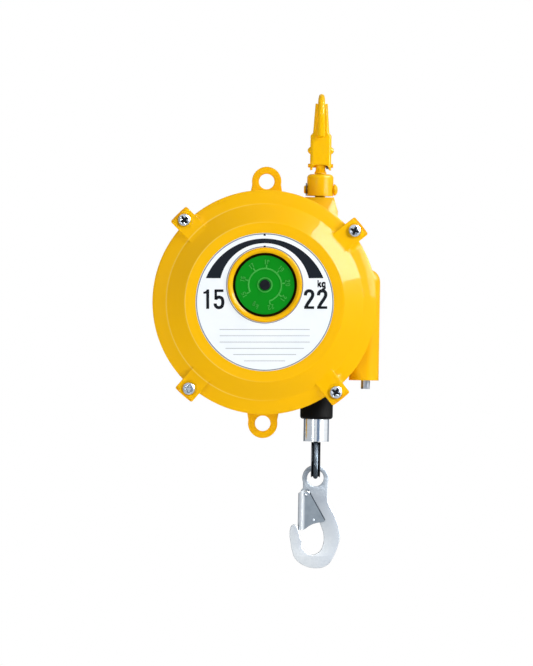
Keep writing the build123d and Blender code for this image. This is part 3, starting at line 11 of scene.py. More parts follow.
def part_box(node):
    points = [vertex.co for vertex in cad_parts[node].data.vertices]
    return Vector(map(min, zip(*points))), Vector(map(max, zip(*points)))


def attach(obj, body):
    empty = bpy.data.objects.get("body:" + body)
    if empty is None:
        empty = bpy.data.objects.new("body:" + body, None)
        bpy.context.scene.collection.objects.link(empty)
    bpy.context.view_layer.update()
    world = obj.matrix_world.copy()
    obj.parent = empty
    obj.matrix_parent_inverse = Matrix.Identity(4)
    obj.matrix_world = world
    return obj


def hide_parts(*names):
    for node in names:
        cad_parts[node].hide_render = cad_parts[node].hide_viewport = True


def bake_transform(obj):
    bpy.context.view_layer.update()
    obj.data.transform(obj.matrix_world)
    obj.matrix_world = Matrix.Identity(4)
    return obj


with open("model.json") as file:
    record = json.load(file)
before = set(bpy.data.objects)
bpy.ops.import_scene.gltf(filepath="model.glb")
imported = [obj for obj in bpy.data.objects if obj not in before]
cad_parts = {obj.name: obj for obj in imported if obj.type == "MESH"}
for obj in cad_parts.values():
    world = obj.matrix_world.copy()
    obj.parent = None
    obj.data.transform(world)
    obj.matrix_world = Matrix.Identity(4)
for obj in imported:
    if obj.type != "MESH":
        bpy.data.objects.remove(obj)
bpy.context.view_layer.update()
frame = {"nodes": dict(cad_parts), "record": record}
scene = bpy.context.scene
MM = 0.001

# Places that the source gives
axis_x, axis_z = -0.0553, -0.2065  # the drum's axis, in metres
DIAL_UP = 17.5  # the dial's centre above that axis, in mm
dial_z = axis_z + DIAL_UP * MM
picture_roll = radians(0.95)  # how far the picture leans, and with it the print on the plate


# Nodes
def add(tree, kind, sockets=None, **settings):
    """A new node in the tree, with its settings made and its sockets filled or joined."""
    node = tree.nodes.new(kind)
    for key, value in settings.items():
        setattr(node, key, value)
    for key, value in (sockets or {}).items():
        if isinstance(value, bpy.types.NodeSocket):
            tree.links.new(value, node.inputs[key])
        else:
            node.inputs[key].default_value = value
    return node


def calc(tree, operation, *values, clamp=False):
    """A sum in a node tree. Returns its result."""
    node = add(tree, "ShaderNodeMath", dict(enumerate(values)), operation=operation, use_clamp=clamp)
    return node.outputs[0]


def group(name, kind, inputs, outputs):
    """An empty node group with named sockets. Returns it with its input and output nodes."""
    tree = bpy.data.node_groups.new(name, kind)
    for direction, sockets in (("INPUT", inputs), ("OUTPUT", outputs)):
        for label, value in sockets.items():
            if isinstance(value, str):
                tree.interface.new_socket(label, in_out=direction, socket_type=value)
            else:
                kind_of = "NodeSocketInt" if isinstance(value, int) else "NodeSocketFloat"
                tree.interface.new_socket(label, in_out=direction, socket_type=kind_of).default_value = value
    return tree, tree.nodes.new("NodeGroupInput"), tree.nodes.new("NodeGroupOutput")


def put(tree, node, label, value):
    """Joins a result to a named input of a node."""
    tree.links.new(value, node.inputs[label])


def effect(tree, shared, **values):
    """A shared surface effect with its own values. Returns its results."""
    sockets = {label.replace("_", " "): value for label, value in values.items()}
    return add(tree, "ShaderNodeGroup", sockets, node_tree=shared).outputs


def axes(tree, vector):
    """A vector's X, Y and Z."""
    return add(tree, "ShaderNodeSeparateXYZ", {0: vector}).outputs


def object_place(tree):
    """The place on the object, in metres."""
    return add(tree, "ShaderNodeTexCoord").outputs["Object"]


def noise(tree, place, scale, detail, roughness=0.5):
    """A cloudy value of 0 to 1 at a place."""
    sockets = {"Vector": place, "Scale": scale, "Detail": detail, "Roughness": roughness}
    return add(tree, "ShaderNodeTexNoise", sockets).outputs[0]


def between(tree, value, low, high):
    """1 where a value lies between two limits, and 0 elsewhere."""
    return calc(
        tree, "MULTIPLY", calc(tree, "GREATER_THAN", value, low), calc(tree, "LESS_THAN", value, high)
    )


# Surface effects, each built once and placed in several finishes
def make_skin():
    """Sprayed enamel: fine orange peel as a height, and a slow drift of tone."""
    tree, given, out = group(
        "sprayed_skin", "ShaderNodeTree", {"Peel Scale": 900.0}, {"Height": 0.0, "Tone": 0.0}
    )
    place = object_place(tree)
    put(tree, out, "Height", noise(tree, place, given.outputs["Peel Scale"], 2.0))
    put(tree, out, "Tone", noise(tree, place, 18.0, 3.0))
    return tree


def make_grain():
    """Cast or forged skin: pits and lumps as a height, and a blotchy mask."""
    scales = {"Grain Scale": 600.0, "Blotch Scale": 120.0}
    tree, given, out = group("cast_grain", "ShaderNodeTree", scales, {"Height": 0.0, "Blotch": 0.0})
    grain, coarse = given.outputs["Grain Scale"], given.outputs["Blotch Scale"]
    place = object_place(tree)
    lumps = noise(tree, place, grain, 5.0, 0.65)
    pits = add(tree, "ShaderNodeTexVoronoi", {"Vector": place, "Scale": grain}).outputs["Distance"]
    blotch = calc(tree, "MULTIPLY", noise(tree, place, coarse, 6.0, 0.6), 1.35)
    put(tree, out, "Height", calc(tree, "MULTIPLY_ADD", pits, 0.35, lumps))
    put(tree, out, "Blotch", calc(tree, "SMOOTH_MIN", blotch, 1.0, 0.2))
    return tree


def make_turning():
    """Lathe marks round a vertical or a front to back axis: fine rings as a height, and their tone."""
    sizes = {"Along": 0.0, "Pitch": 0.00018}
    tree, given, out = group("turned_rings", "ShaderNodeTree", sizes, {"Height": 0.0, "Tone": 0.0})
    turns = calc(tree, "DIVIDE", given.outputs["Along"], given.outputs["Pitch"])
    for label, share in (("Height", 1.0), ("Tone", 0.11)):
        sockets = {"W": calc(tree, "MULTIPLY", turns, share), "Scale": 1.0, "Detail": 2.0}
        put(tree, out, label, add(tree, "ShaderNodeTexNoise", sockets, noise_dimensions="1D").outputs[0])
    return tree


def make_ring_mask():
    """1 between two radii about a point of the front, and 0 elsewhere."""
    sizes = {"Across": 0.0, "Up": 0.0, "Centre Across": 0.0, "Centre Up": 0.0, "Inner": 0.0, "Outer": 1.0}
    tree, given, out = group("printed_ring", "ShaderNodeTree", sizes, {"Mask": 0.0})
    got = given.outputs
    across = calc(tree, "SUBTRACT", got["Across"], got["Centre Across"])
    up = calc(tree, "SUBTRACT", got["Up"], got["Centre Up"])
    reach = calc(tree, "SQRT", calc(tree, "MULTIPLY_ADD", across, across, calc(tree, "MULTIPLY", up, up)))
    put(tree, out, "Mask", between(tree, reach, got["Inner"], got["Outer"]))
    return tree


def make_dust():
    """A thin settling of dust on what faces up, and a little in the pores, as a mask."""
    tree, given, out = group("settled_dust", "ShaderNodeTree", {"Amount": 0.3}, {"Mask": 0.0})
    up = axes(tree, add(tree, "ShaderNodeNewGeometry").outputs["Normal"])["Z"]
    facing = calc(tree, "MULTIPLY_ADD", up, 0.6, 0.25, clamp=True)
    patches = calc(
        tree, "MULTIPLY_ADD", noise(tree, object_place(tree), 45.0, 6.0, 0.7), 2.2, -0.75, clamp=True
    )
    put(
        tree, out, "Mask",
        calc(tree, "MULTIPLY", calc(tree, "MULTIPLY", facing, patches), given.outputs["Amount"])
    )
    return tree


def make_lay():
    """Outside of a laid rope: strands and wires as a height, and a mask for the painted shade between the
    strands.
    """
    sizes = {"Centre Across": 0.0, "Centre Deep": 0.0, "Strands": 6.0, "Lay": 0.030}
    tree, given, out = group("rope_lay", "ShaderNodeTree", sizes, {"Height": 0.0, "Gap": 0.0})
    got = given.outputs
    place = axes(tree, object_place(tree))
    deep = calc(tree, "SUBTRACT", place["Y"], got["Centre Deep"])
    turn = calc(tree, "ARCTAN2", deep, calc(tree, "SUBTRACT", place["X"], got["Centre Across"]))
    rise = calc(tree, "DIVIDE", place["Z"], got["Lay"])
    count = calc(tree, "MULTIPLY", calc(tree, "MULTIPLY_ADD", turn, 1 / tau, rise), got["Strands"])
    strand = calc(tree, "ABSOLUTE", calc(tree, "SINE", calc(tree, "MULTIPLY", count, pi)))
    climb = calc(tree, "MULTIPLY", place["Z"], 1 / 0.0009)
    wires = calc(tree, "SINE", calc(tree, "MULTIPLY_ADD", climb, tau, calc(tree, "MULTIPLY", turn, 6.0)))
    put(tree, out, "Height", calc(tree, "MULTIPLY_ADD", wires, 0.12, strand))
    # the grooves between the strands, which get painted shade
    put(tree, out, "Gap", calc(tree, "LESS_THAN", strand, 0.30))
    return tree


SKIN, GRAIN, TURNING = make_skin(), make_grain(), make_turning()
RING, DUST, LAY = make_ring_mask(), make_dust(), make_lay()


# Finishes
def blank(name, **plain):
    """A new material and its plain values. Returns its tree, its shader and the place on it too."""
    material = bpy.data.materials.new(name)
    material.use_nodes = True
    tree = material.node_tree
    shader = tree.nodes["Principled BSDF"]
    for label, value in plain.items():
        shader.inputs[label.replace("_", " ")].default_value = value
    return material, tree, shader, object_place(tree)


def mixed(tree, share, one, other):
    """One colour turning into another by a share."""
    return add(tree, "ShaderNodeMix", {0: share, 6: one, 7: other}, data_type="RGBA").outputs[2]


def spread(tree, value, low, high):
    """A value of 0 to 1 spread between two limits."""
    return add(tree, "ShaderNodeMapRange", {0: value, 3: low, 4: high}).outputs[0]


def relief(tree, shader, height, depth, edge=0.0):
    """Gives a shader a raised pattern, over edges that are rounded by a small radius."""
    sockets = {"Height": height, "Distance": depth, "Strength": 1.0}
    if edge:
        sockets["Normal"] = add(tree, "ShaderNodeBevel", {"Radius": edge}, samples=6).outputs[0]
    put(tree, shader, "Normal", add(tree, "ShaderNodeBump", sockets).outputs[0])


def rgb(red, green, blue):
    """A screen colour of 0 to 255 as a linear colour."""
    parts = [
        (c / 255 / 12.92) if c <= 10 else ((c / 255 + 0.055) / 1.055) ** 2.4 for c in (red, green, blue)
    ]
    return (*parts, 1.0)


# Rings about the drum's axis or the dial: centre above the axis, inner and outer radius in mm, tone and
# share. The two crease rings are a painted highlight and the dial pocket's ring is painted shade
CREASE_HIGHLIGHT = rgb(255, 216, 96)
COVER_RINGS = (
    (0.0, 100.1, 101.3, CREASE_HIGHLIGHT, 0.55),
    (0.0, 80.9, 82.0, CREASE_HIGHLIGHT, 0.55),
    (DIAL_UP, 0.0, 32.75, rgb(84, 52, 4), 1.0),
)


def enamel(name, paint, shade, peel, edge, cover=False):
    """Glossy sprayed paint on metal, with a slow drift of tone, orange peel and a trace of dust.

    The cover's creases carry a pale painted highlight, mostly at the left, and its dial pocket is darkened
    with painted shade.
    """
    material, tree, shader, place = blank(
        name, Specular_IOR_Level=0.02, Coat_Weight=0.13, Coat_Roughness=0.05
    )
    skin = effect(tree, SKIN, Peel_Scale=800.0)
    dust = effect(tree, DUST, Amount=0.05)["Mask"]
    body = mixed(tree, spread(tree, skin["Tone"], 0.0, 0.5), paint, shade)
    if cover:
        parts = axes(tree, place)
        # painted light: a pale highlight on the creases that fades towards the right, and dark shade in the
        # dial pocket
        leftwards = calc(tree, "MULTIPLY_ADD", parts["X"], -14.0, 14.0 * axis_x + 0.25, clamp=True)
        for up, inner, outer, tone, share in COVER_RINGS:
            reach = {"Inner": inner * MM, "Outer": outer * MM}
            centre = {"Centre_Across": axis_x, "Centre_Up": axis_z + up * MM}
            ring = effect(tree, RING, Across=parts["X"], Up=parts["Z"], **centre, **reach)["Mask"]
            if inner:
                ring = calc(tree, "MULTIPLY", ring, leftwards)
            body = mixed(tree, calc(tree, "MULTIPLY", ring, share), body, tone)
    put(tree, shader, "Base Color", mixed(tree, dust, body, rgb(214, 196, 140)))
    put(
        tree, shader, "Roughness",
        calc(tree, "MULTIPLY_ADD", dust, 0.9, spread(tree, skin["Tone"], 0.30, 0.40))
    )
    relief(tree, shader, skin["Height"], peel, edge)
    return material


def textured(name, light, dark, rough, dull, grain, blotch, depth, edge, **plain):
    """A grainy skin with blotches of two tones, the dark ones duller."""
    material, tree, shader, _ = blank(name, **plain)
    skin = effect(tree, GRAIN, Grain_Scale=grain, Blotch_Scale=blotch)
    put(tree, shader, "Base Color", mixed(tree, skin["Blotch"], dark, light))
    put(tree, shader, "Roughness", spread(tree, skin["Blotch"], rough + dull, rough))
    relief(tree, shader, skin["Height"], depth, edge)
    return material


def plated(name, light, dark, rough, grain, depth, edge=0.0):
    """Plated, forged or cast metal."""
    return textured(name, light, dark, rough, 0.12, grain, 120.0, depth, edge, Metallic=1.0)


def moulded(name, light, dark, rough, grain, depth, edge, specular):
    """Moulded plastic, rubber or ink."""
    return textured(name, light, dark, rough, 0.10, grain, 60.0, depth, edge, Specular_IOR_Level=specular)


def turned(name, light, dark, rough, along, pitch, depth, edge):
    """Metal from the lathe. along names the coordinate that its fine rings are stacked on."""
    material, tree, shader, place = blank(name, Metallic=1.0)
    rings = effect(tree, TURNING, Along=axes(tree, place)[along], Pitch=pitch)
    put(tree, shader, "Base Color", mixed(tree, rings["Tone"], dark, light))
    put(tree, shader, "Roughness", spread(tree, rings["Height"], rough, rough + 0.10))
    relief(tree, shader, rings["Height"], depth, edge)
    return material


# The plate's ruled lines: height about the drum's axis and half length, in mm
RULED = ((-28.0, 46.0), (-34.4, 46.0), (-40.8, 46.0), (-47.2, 40.0), (-53.6, 32.0), (-60.0, 21.0))
RULED_HALF = 0.22


def printed_plate():
    """White lacquered plate with printed rings, the load wedge over the window and ruled lines below."""
    material, tree, shader, place = blank("printed_plate", Specular_IOR_Level=0.10)
    turning = {"Vector": place, "Center": (axis_x, 0, axis_z), "Axis": (0, 1, 0), "Angle": picture_roll}
    parts = axes(tree, add(tree, "ShaderNodeVectorRotate", turning).outputs[0])
    across = calc(tree, "SUBTRACT", parts["X"], axis_x)
    up = calc(tree, "SUBTRACT", parts["Z"], axis_z)

    def ring(centre_up, inner, outer):
        reach = {"Inner": inner * MM, "Outer": outer * MM}
        return effect(tree, RING, Across=across, Up=up, Centre_Up=centre_up * MM, **reach)["Mask"]

    def band(value, low, high):
        return between(tree, value, low * MM, high * MM)

    fibres = effect(tree, GRAIN, Grain_Scale=1500.0, Blotch_Scale=30.0)
    paper = mixed(tree, fibres["Blotch"], rgb(236, 243, 250), rgb(247, 251, 254))
    lines = calc(tree, "MAXIMUM", ring(0, 69.0, 70.1), ring(DIAL_UP, 38.5, 39.4))
    wedge = calc(tree, "MULTIPLY", ring(0, 0, 64.8), calc(tree, "SUBTRACT", 1.0, ring(13.9, 0, 46.2)))
    wedge = calc(tree, "MULTIPLY", wedge, calc(tree, "GREATER_THAN", up, 24.4 * MM))
    ticks = calc(tree, "MAXIMUM", band(up, 67.6, 70.0), band(up, 55.9, 57.6))
    ink = calc(tree, "MAXIMUM", wedge, calc(tree, "MULTIPLY", band(across, -1.1, 1.1), ticks))
    rules = 0.0
    for height, half in RULED:
        line = calc(
            tree, "MULTIPLY", band(up, height - RULED_HALF, height + RULED_HALF), band(across, -half, half)
        )
        rules = calc(tree, "MAXIMUM", rules, line)
    ruled = mixed(tree, rules, mixed(tree, lines, paper, rgb(120, 132, 146)), rgb(128, 134, 142))
    put(tree, shader, "Base Color", mixed(tree, ink, ruled, rgb(20, 27, 36)))
    put(tree, shader, "Roughness", spread(tree, fibres["Blotch"], 0.34, 0.42))
    relief(tree, shader, calc(tree, "MULTIPLY_ADD", ink, 6.0, fibres["Height"]), 0.000004)
    return material


def rope_steel():
    """Galvanised wire rope, its strands and wires worked out about its upright line, with painted shade
    between the strands.
    """
    material, tree, shader, _ = blank("laid_wire_rope", Metallic=1.0)
    lay = effect(tree, LAY)
    skin = effect(tree, GRAIN, Grain_Scale=1400.0, Blotch_Scale=200.0)
    wire = mixed(tree, skin["Blotch"], rgb(120, 130, 140), rgb(178, 188, 196))
    # painted shade: the gaps between the strands are painted near black
    put(tree, shader, "Base Color", mixed(tree, lay["Gap"], wire, rgb(18, 20, 24)))
    put(tree, shader, "Roughness", spread(tree, skin["Blotch"], 0.5, 0.36))
    relief(tree, shader, lay["Height"], 0.0005)
    return material


def strand_steel():
    """Wires of one strand, which follow its own map: along it and round it. Their tone is a darker copy of
    laid_wire_rope's, as painted shade, and the gaps between the wires are painted darker still.
    """
    material, tree, shader, _ = blank("strand_wires", Metallic=1.0)
    uv = axes(tree, add(tree, "ShaderNodeTexCoord").outputs["UV"])
    count = calc(tree, "MULTIPLY_ADD", uv["Y"], 6.0, calc(tree, "MULTIPLY", uv["X"], 330.0))
    wires = calc(tree, "ABSOLUTE", calc(tree, "SINE", calc(tree, "MULTIPLY", count, pi)))
    skin = effect(tree, GRAIN, Grain_Scale=1400.0, Blotch_Scale=260.0)
    # painted shade: the same galvanised wire as laid_wire_rope, painted darker
    wire = mixed(tree, skin["Blotch"], rgb(50, 58, 66), rgb(100, 110, 120))
    # painted shade in the gaps between the wires
    put(tree, shader, "Base Color", mixed(tree, calc(tree, "LESS_THAN", wires, 0.35), wire, rgb(38, 44, 52)))
    put(tree, shader, "Roughness", spread(tree, skin["Blotch"], 0.5, 0.42))
    relief(tree, shader, wires, 0.00012)
    return material


def forged_hook():
    """Zinc plated forging: satin below, and darker and rougher towards the eye, with painted shade on its
    walls.
    """
    material, tree, shader, place = blank("forged_zinc_hook", Metallic=1.0)
    parts = axes(tree, place)
    skin = effect(tree, GRAIN, Grain_Scale=520.0, Blotch_Scale=170.0)
    patchy = calc(tree, "MULTIPLY", skin["Blotch"], 0.35)
    eye = calc(tree, "MULTIPLY_ADD", calc(tree, "ADD", parts["Z"], 0.404), 75.0, patchy, clamp=True)
    upper = calc(tree, "MULTIPLY_ADD", parts["Z"], 18.0, 8.4, clamp=True)
    body = mixed(tree, skin["Blotch"], rgb(200, 206, 210), rgb(232, 236, 238))
    body = mixed(tree, calc(tree, "MULTIPLY", upper, 0.85), body, rgb(164, 171, 178))
    rough_zone = mixed(tree, skin["Blotch"], rgb(70, 80, 90), rgb(172, 180, 188))
    # painted shade: the side walls and their rounded edges are darkened, so that the outline shows dark
    wall = calc(tree, "MULTIPLY_ADD", calc(tree, "ABSOLUTE", parts["Y"]), -4000.0, 15.9, clamp=True)
    face = mixed(tree, eye, body, rough_zone)
    put(
        tree, shader, "Base Color",
        mixed(tree, calc(tree, "MULTIPLY", wall, 0.85), face, rgb(104, 114, 124))
    )
    rough = calc(tree, "MULTIPLY_ADD", eye, 0.12, spread(tree, skin["Blotch"], 0.46, 0.36))
    put(tree, shader, "Roughness", rough)
    relief(
        tree, shader, calc(tree, "MULTIPLY", skin["Height"], spread(tree, eye, 0.25, 1.0)), 0.00022, 0.0007
    )
    return material


def bent_gate():
    """Zinc plated sheet with dull cheeks, a painted highlight round its fold, and a painted shadow along its
    slanting edge where it meets the hook.
    """
    material, tree, shader, place = blank("zinc_sheet_gate", Metallic=1.0)
    parts = axes(tree, place)
    skin = effect(tree, GRAIN, Grain_Scale=1100.0, Blotch_Scale=120.0)
    cheek = mixed(tree, skin["Blotch"], rgb(112, 122, 132), rgb(150, 160, 168))
    # painted highlight: the sheet round the fold is painted much lighter than the cheeks
    fold = calc(tree, "MULTIPLY_ADD", parts["X"], -420.0, -4.2, clamp=True)
    # painted shadow: a dark line along the slanting edge, for the gap between gate and hook
    rise = calc(tree, "MULTIPLY", calc(tree, "ADD", parts["Z"], 0.4006), 0.498)
    out = calc(tree, "MULTIPLY_ADD", calc(tree, "ADD", parts["X"], 0.0057), 0.867, rise)
    edge_shadow = calc(tree, "MULTIPLY_ADD", out, 1600.0, 1.9, clamp=True)
    sheet = mixed(tree, fold, cheek, rgb(226, 231, 235))
    put(tree, shader, "Base Color", mixed(tree, edge_shadow, sheet, rgb(34, 40, 46)))
    put(tree, shader, "Roughness", spread(tree, skin["Blotch"], 0.48, 0.36))
    relief(tree, shader, skin["Height"], 0.00003, 0.0004)
    return material


YELLOW, YELLOW_SHADE = rgb(250, 190, 0), rgb(244, 180, 0)
finish = {
    "case": enamel("case_enamel", YELLOW, YELLOW_SHADE, 0.000012, 0.0009),
    "cover": enamel("cover_enamel", YELLOW, YELLOW_SHADE, 0.000012, 0.0009, cover=True),
    "hook": enamel("hook_enamel", rgb(251, 196, 0), rgb(246, 184, 0), 0.000010, 0.0005),
    "plate": printed_plate(),
    # black for the print and the dial screw, and also the painted shade in the screw recesses
    "ink": moulded("black_ink_and_recess_shade", rgb(16, 20, 28), rgb(10, 14, 20), 0.40, 1500.0, 0.000002, 0.0, 0.10),
    "green": moulded(
        "green_dial_plastic", rgb(0, 142, 22), rgb(0, 132, 20), 0.36, 900.0, 0.000006, 0.0002, 0.07
    ),
    # painted highlight: the raised figures and marks are a lighter green than the dial, for the light their
    # edges catch
    "relief": moulded(
        "green_dial_relief_highlight", rgb(72, 178, 74), rgb(56, 162, 60), 0.34, 900.0, 0.000004, 0.0002, 0.10
    ),
    "dark": plated("blackened_steel", rgb(58, 60, 64), rgb(34, 36, 40), 0.42, 900.0, 0.00003, 0.0003),
    "zinc": plated("zinc_screws", rgb(196, 204, 212), rgb(140, 150, 160), 0.22, 1400.0, 0.00002, 0.0002),
    "gate": bent_gate(),
    "forged": forged_hook(),
    "bronze": plated("bronze", rgb(196, 150, 84), rgb(160, 116, 60), 0.34, 700.0, 0.00002, 0.0003),
    "alloy": plated("cast_aluminium", rgb(176, 180, 184), rgb(140, 144, 150), 0.46, 500.0, 0.00010, 0.0006),
    "bright": turned(
        "turned_aluminium", rgb(232, 236, 240), rgb(214, 220, 226), 0.14, "Z", 0.00022, 0.0000035, 0.0006
    ),
    "steel": turned(
        "ground_steel", rgb(196, 200, 206), rgb(160, 166, 174), 0.24, "Y", 0.00030, 0.000006, 0.0003
    ),
    "spring": plated("blued_spring_steel", rgb(78, 92, 120), rgb(46, 56, 80), 0.30, 500.0, 0.00002),
    "rubber": moulded("black_rubber", rgb(8, 9, 10), rgb(4, 5, 6), 0.55, 900.0, 0.00004, 0.0008, 0.06),
    "rope": rope_steel(),
    "strand": strand_steel(),
}

node_finish = {
    "case": ["rear_case", "worm_plug", "rear_cap"],
    "cover": ["front_cover"],
    "hook": ["upper_hook", "upper_latch", "swivel_cap", "hanger_pin", "latch_pin"],
    "ink": ["dial_screw"],
    "dark": ["pin_clip", "circlip", "hook_nut", "pawl_pin", "safety_pawl", "shaft_key", "thimble"],
    "zinc": ["cover_screws", "cap_screws", "lid_screws", "gate_pin", "set_screws", "thrust_washer"],
    "gate": ["snap_gate"],
    "spring": ["latch_spring", "gate_spring", "mainspring"],
    "forged": ["snap_hook"],
    "plate": ["rating_plate"],
    "green": ["dial"],
    "bronze": ["front_bush", "rope_guide", "worm_bush", "worm_wheel"],
    "alloy": ["rope_drum", "spring_barrel", "barrel_lid", "dial_pinion"],
    "bright": ["stopper_sleeve"],
    "steel": ["worm", "drum_shaft", "bearing_inner", "bearing_outer", "bearing_balls"],
    "rubber": ["rubber_buffer"],
    "rope": ["load_rope", "rope_windings", "rope_loop"],
}


def placed(name, data):
    """A new object of the scene that holds this data."""
    made = bpy.data.objects.new(name, data)
    scene.collection.objects.link(made)
    return made


def dress(piece, material):
    """Gives a piece one material over all of it."""
    piece.data.materials.clear()
    piece.data.materials.append(material)
    for face in piece.data.polygons:
        face.material_index = 0


for kind, names in node_finish.items():
    for name in names:
        dress(frame["nodes"][name], finish[kind])


# Camera and light
VIEW_CENTRE = Vector((-0.0529, 0.0, -0.2380))
CAMERA_AWAY = 6.0
camera_data = bpy.data.cameras.new("camera")
camera_data.lens = 52.4 * CAMERA_AWAY
camera_data.sensor_width = 36.0
camera = placed("camera", camera_data)
camera.matrix_world = (
    Matrix.Translation(VIEW_CENTRE + Vector((0, -CAMERA_AWAY, 0)))
    @ Matrix.Rotation(radians(90), 4, "X")
    @ Matrix.Rotation(picture_roll, 4, "Z")
)
scene.camera = camera
scene.view_settings.view_transform = "Standard"


def lamp(name, towards, distance, size, watts, diffuse=True, glossy=True):
    """A soft rectangular lamp that faces the object from a direction."""
    data = bpy.data.lights.new(name, "AREA")
    data.shape = "RECTANGLE"
    data.size, data.size_y = size
    data.energy = watts
    made = placed(name, data)
    direction = Vector(towards).normalized()
    made.location = Vector((axis_x, -0.03, axis_z)) + direction * distance
    made.rotation_euler = direction.to_track_quat("Z", "Y").to_euler()
    made.visible_camera = False
    made.visible_diffuse = diffuse
    made.visible_glossy = glossy


lamp("key_right", (0.80, -0.42, 0.36), 1.6, (0.9, 0.9), 19.0, glossy=False)
lamp("fill_left", (-0.58, -0.80, -0.10), 1.7, (1.0, 1.2), 9.5, glossy=False)
lamp("foot_fill", (0.05, -0.55, -0.85), 1.7, (1.0, 0.8), 6.5, glossy=False)
lamp("back_fill", (0.25, 0.90, 0.30), 1.8, (1.2, 1.2), 13.0, glossy=False)
lamp("top_lamp", (0.05, -0.20, 1.0), 1.5, (1.0, 0.8), 3.0, glossy=False)
lamp("cone_glint", (cos(radians(36)), -0.174, sin(radians(36))), 1.25, (0.98, 0.9), 110.0, diffuse=False)
lamp("left_glint", (-0.46, -0.86, 0.10), 1.7, (0.10, 0.9), 4.0, diffuse=False)
lamp("right_glint", (1.31, -0.92, 0.48), 1.67, (0.90, 0.8), 44.0, diffuse=False)


CARD_AWAY, CARD_FOOT, CARD_TOP = 2.4, -1.6, 1.2


def card(name, start, end, tone):
    """A toned card that shows only in polished metal. It stands round the object from one angle to another,
    counted in degrees from the camera to the right."""
    section = ((1, CARD_FOOT), (1.01, CARD_FOOT), (1.01, CARD_TOP), (1, CARD_TOP))
    rings = []
    for k in range(17):
        turn = radians(start + (end - start) * k / 16)
        rings.append([(CARD_AWAY * r * sin(turn), -CARD_AWAY * r * cos(turn), z) for r, z in section])
    made = placed(name, rings_mesh(name, rings))
    material, tree, _, _ = blank(name + "_tone")
    glow = add(tree, "ShaderNodeEmission", {"Color": tone}).outputs[0]
    put(tree, tree.nodes["Material Output"], "Surface", glow)
    made.data.materials.append(material)
    made.visible_camera = made.visible_diffuse = made.visible_shadow = made.visible_transmission = False


def seen_rays(tree):
    """1 where the background shows to the camera, in metal or through glass."""
    rays = add(tree, "ShaderNodeLightPath").outputs
    direct = calc(tree, "MAXIMUM", rays["Is Camera Ray"], rays["Is Glossy Ray"])
    return calc(tree, "MAXIMUM", direct, rays["Is Transmission Ray"])


world = bpy.data.worlds.new("studio")
scene.world = world
world.use_nodes = True
air = world.node_tree
room = add(air, "ShaderNodeBackground", {"Color": (0.98, 0.99, 1.0, 1), "Strength": 0.37}).outputs[0]
white = add(air, "ShaderNodeBackground", {"Color": (1, 1, 1, 1), "Strength": 1.0}).outputs[0]
backdrop = add(air, "ShaderNodeMixShader", {0: seen_rays(air), 1: room, 2: white}).outputs[0]
put(air, air.nodes["World Output"], 0, backdrop)


# Making meshes and pieces
def piece(name, mesh, body, material, slot, stands_for=(), angle=40):
    """A finished mesh as a piece of the object that rides on a body and stands for CAD nodes."""
    made = placed(name, mesh)
    dress(made, material)
    mesh.polygons.foreach_set("use_smooth", [True] * len(mesh.polygons))
    if angle:
        mesh.set_sharp_from_angle(angle=radians(angle))
    if body:
        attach(made, body)
    if stands_for:
        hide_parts(*stands_for)
    return made


def mesh_of(name, points, faces):
    """A mesh from points and faces, its doubles merged and its faces turned outwards."""
    mesh = bpy.data.meshes.new(name)
    mesh.from_pydata([tuple(p) for p in points], [], faces)
    tidy = bmesh.new()
    tidy.from_mesh(mesh)
    bmesh.ops.remove_doubles(tidy, verts=tidy.verts, dist=1e-7)
    bmesh.ops.recalc_face_normals(tidy, faces=tidy.faces)
    tidy.to_mesh(mesh)
    tidy.free()
    return mesh


body_of = {node: body for body, nodes in frame["record"]["behaviour"]["bodies"].items() for node in nodes}
slot_of = {entry["node"]: entry["material_slot"] for entry in frame["record"]["subparts"]}
finish_of = {node: kind for kind, nodes in node_finish.items() for node in nodes}


def baked(name, source):
    """The mesh that an object's modifiers leave it with. The object itself goes."""
    bpy.context.view_layer.update()
    mesh = bpy.data.meshes.new_from_object(source.evaluated_get(bpy.context.evaluated_depsgraph_get()))
    mesh.name = name
    bpy.data.objects.remove(source)
    return mesh


SEAM_GAP, SEAM_ANGLE = 2e-6, 30


def smooth_copy(node):
    """A casting or turned piece with its seams merged, so that its curved faces shade as one."""
    given = frame["nodes"][node]
    name = "dressed_" + node
    shape = bmesh.new()
    shape.from_mesh(given.data)
    shape.transform(given.matrix_world)
    bmesh.ops.remove_doubles(shape, verts=shape.verts, dist=SEAM_GAP)
    mesh = bpy.data.meshes.new(name)
    shape.to_mesh(mesh)
    shape.free()
    mesh.polygons.foreach_set("use_smooth", [True] * len(mesh.polygons))
    mesh.set_sharp_from_angle(angle=radians(SEAM_ANGLE))
    holder = placed(node, mesh)
    holder.modifiers.new("face_weights", "WEIGHTED_NORMAL").keep_sharp = True
    return piece(
        name, baked(name, holder), body_of[node], finish[finish_of[node]], slot_of[node], [node], angle=0
    )


def rings_mesh(name, rings):
    """Closed rings of points joined one to the next, with both ends closed by a fan."""
    points = [p for ring in rings for p in ring]
    step = len(rings[0])
    faces = []
    for i in range(len(rings) - 1):
        for j in range(step):
            k = (j + 1) % step
            faces.append((i * step + j, i * step + k, (i + 1) * step + k, (i + 1) * step + j))
    for start in (0, (len(rings) - 1) * step):
        middle = sum((Vector(points[start + j]) for j in range(step)), Vector()) / step
        points.append(middle)
        faces += [(start + j, start + (j + 1) % step, len(points) - 1) for j in range(step)]
    return mesh_of(name, points, faces)


def smooth_line(points, steps):
    """Points along a soft curve through the given ones."""
    line = []
    for i in range(len(points) - 1):
        before = points[max(i - 1, 0)]
        start, end = points[i], points[i + 1]
        after = points[min(i + 2, len(points) - 1)]
        for k in range(steps):
            t = k / steps
            bend = (2 * before - 5 * start + 4 * end - after) * t * t
            twist = (3 * start - before - 3 * end + after) * t * t * t
            line.append(0.5 * (2 * start + (end - before) * t + bend + twist))
    return line + [points[-1]]


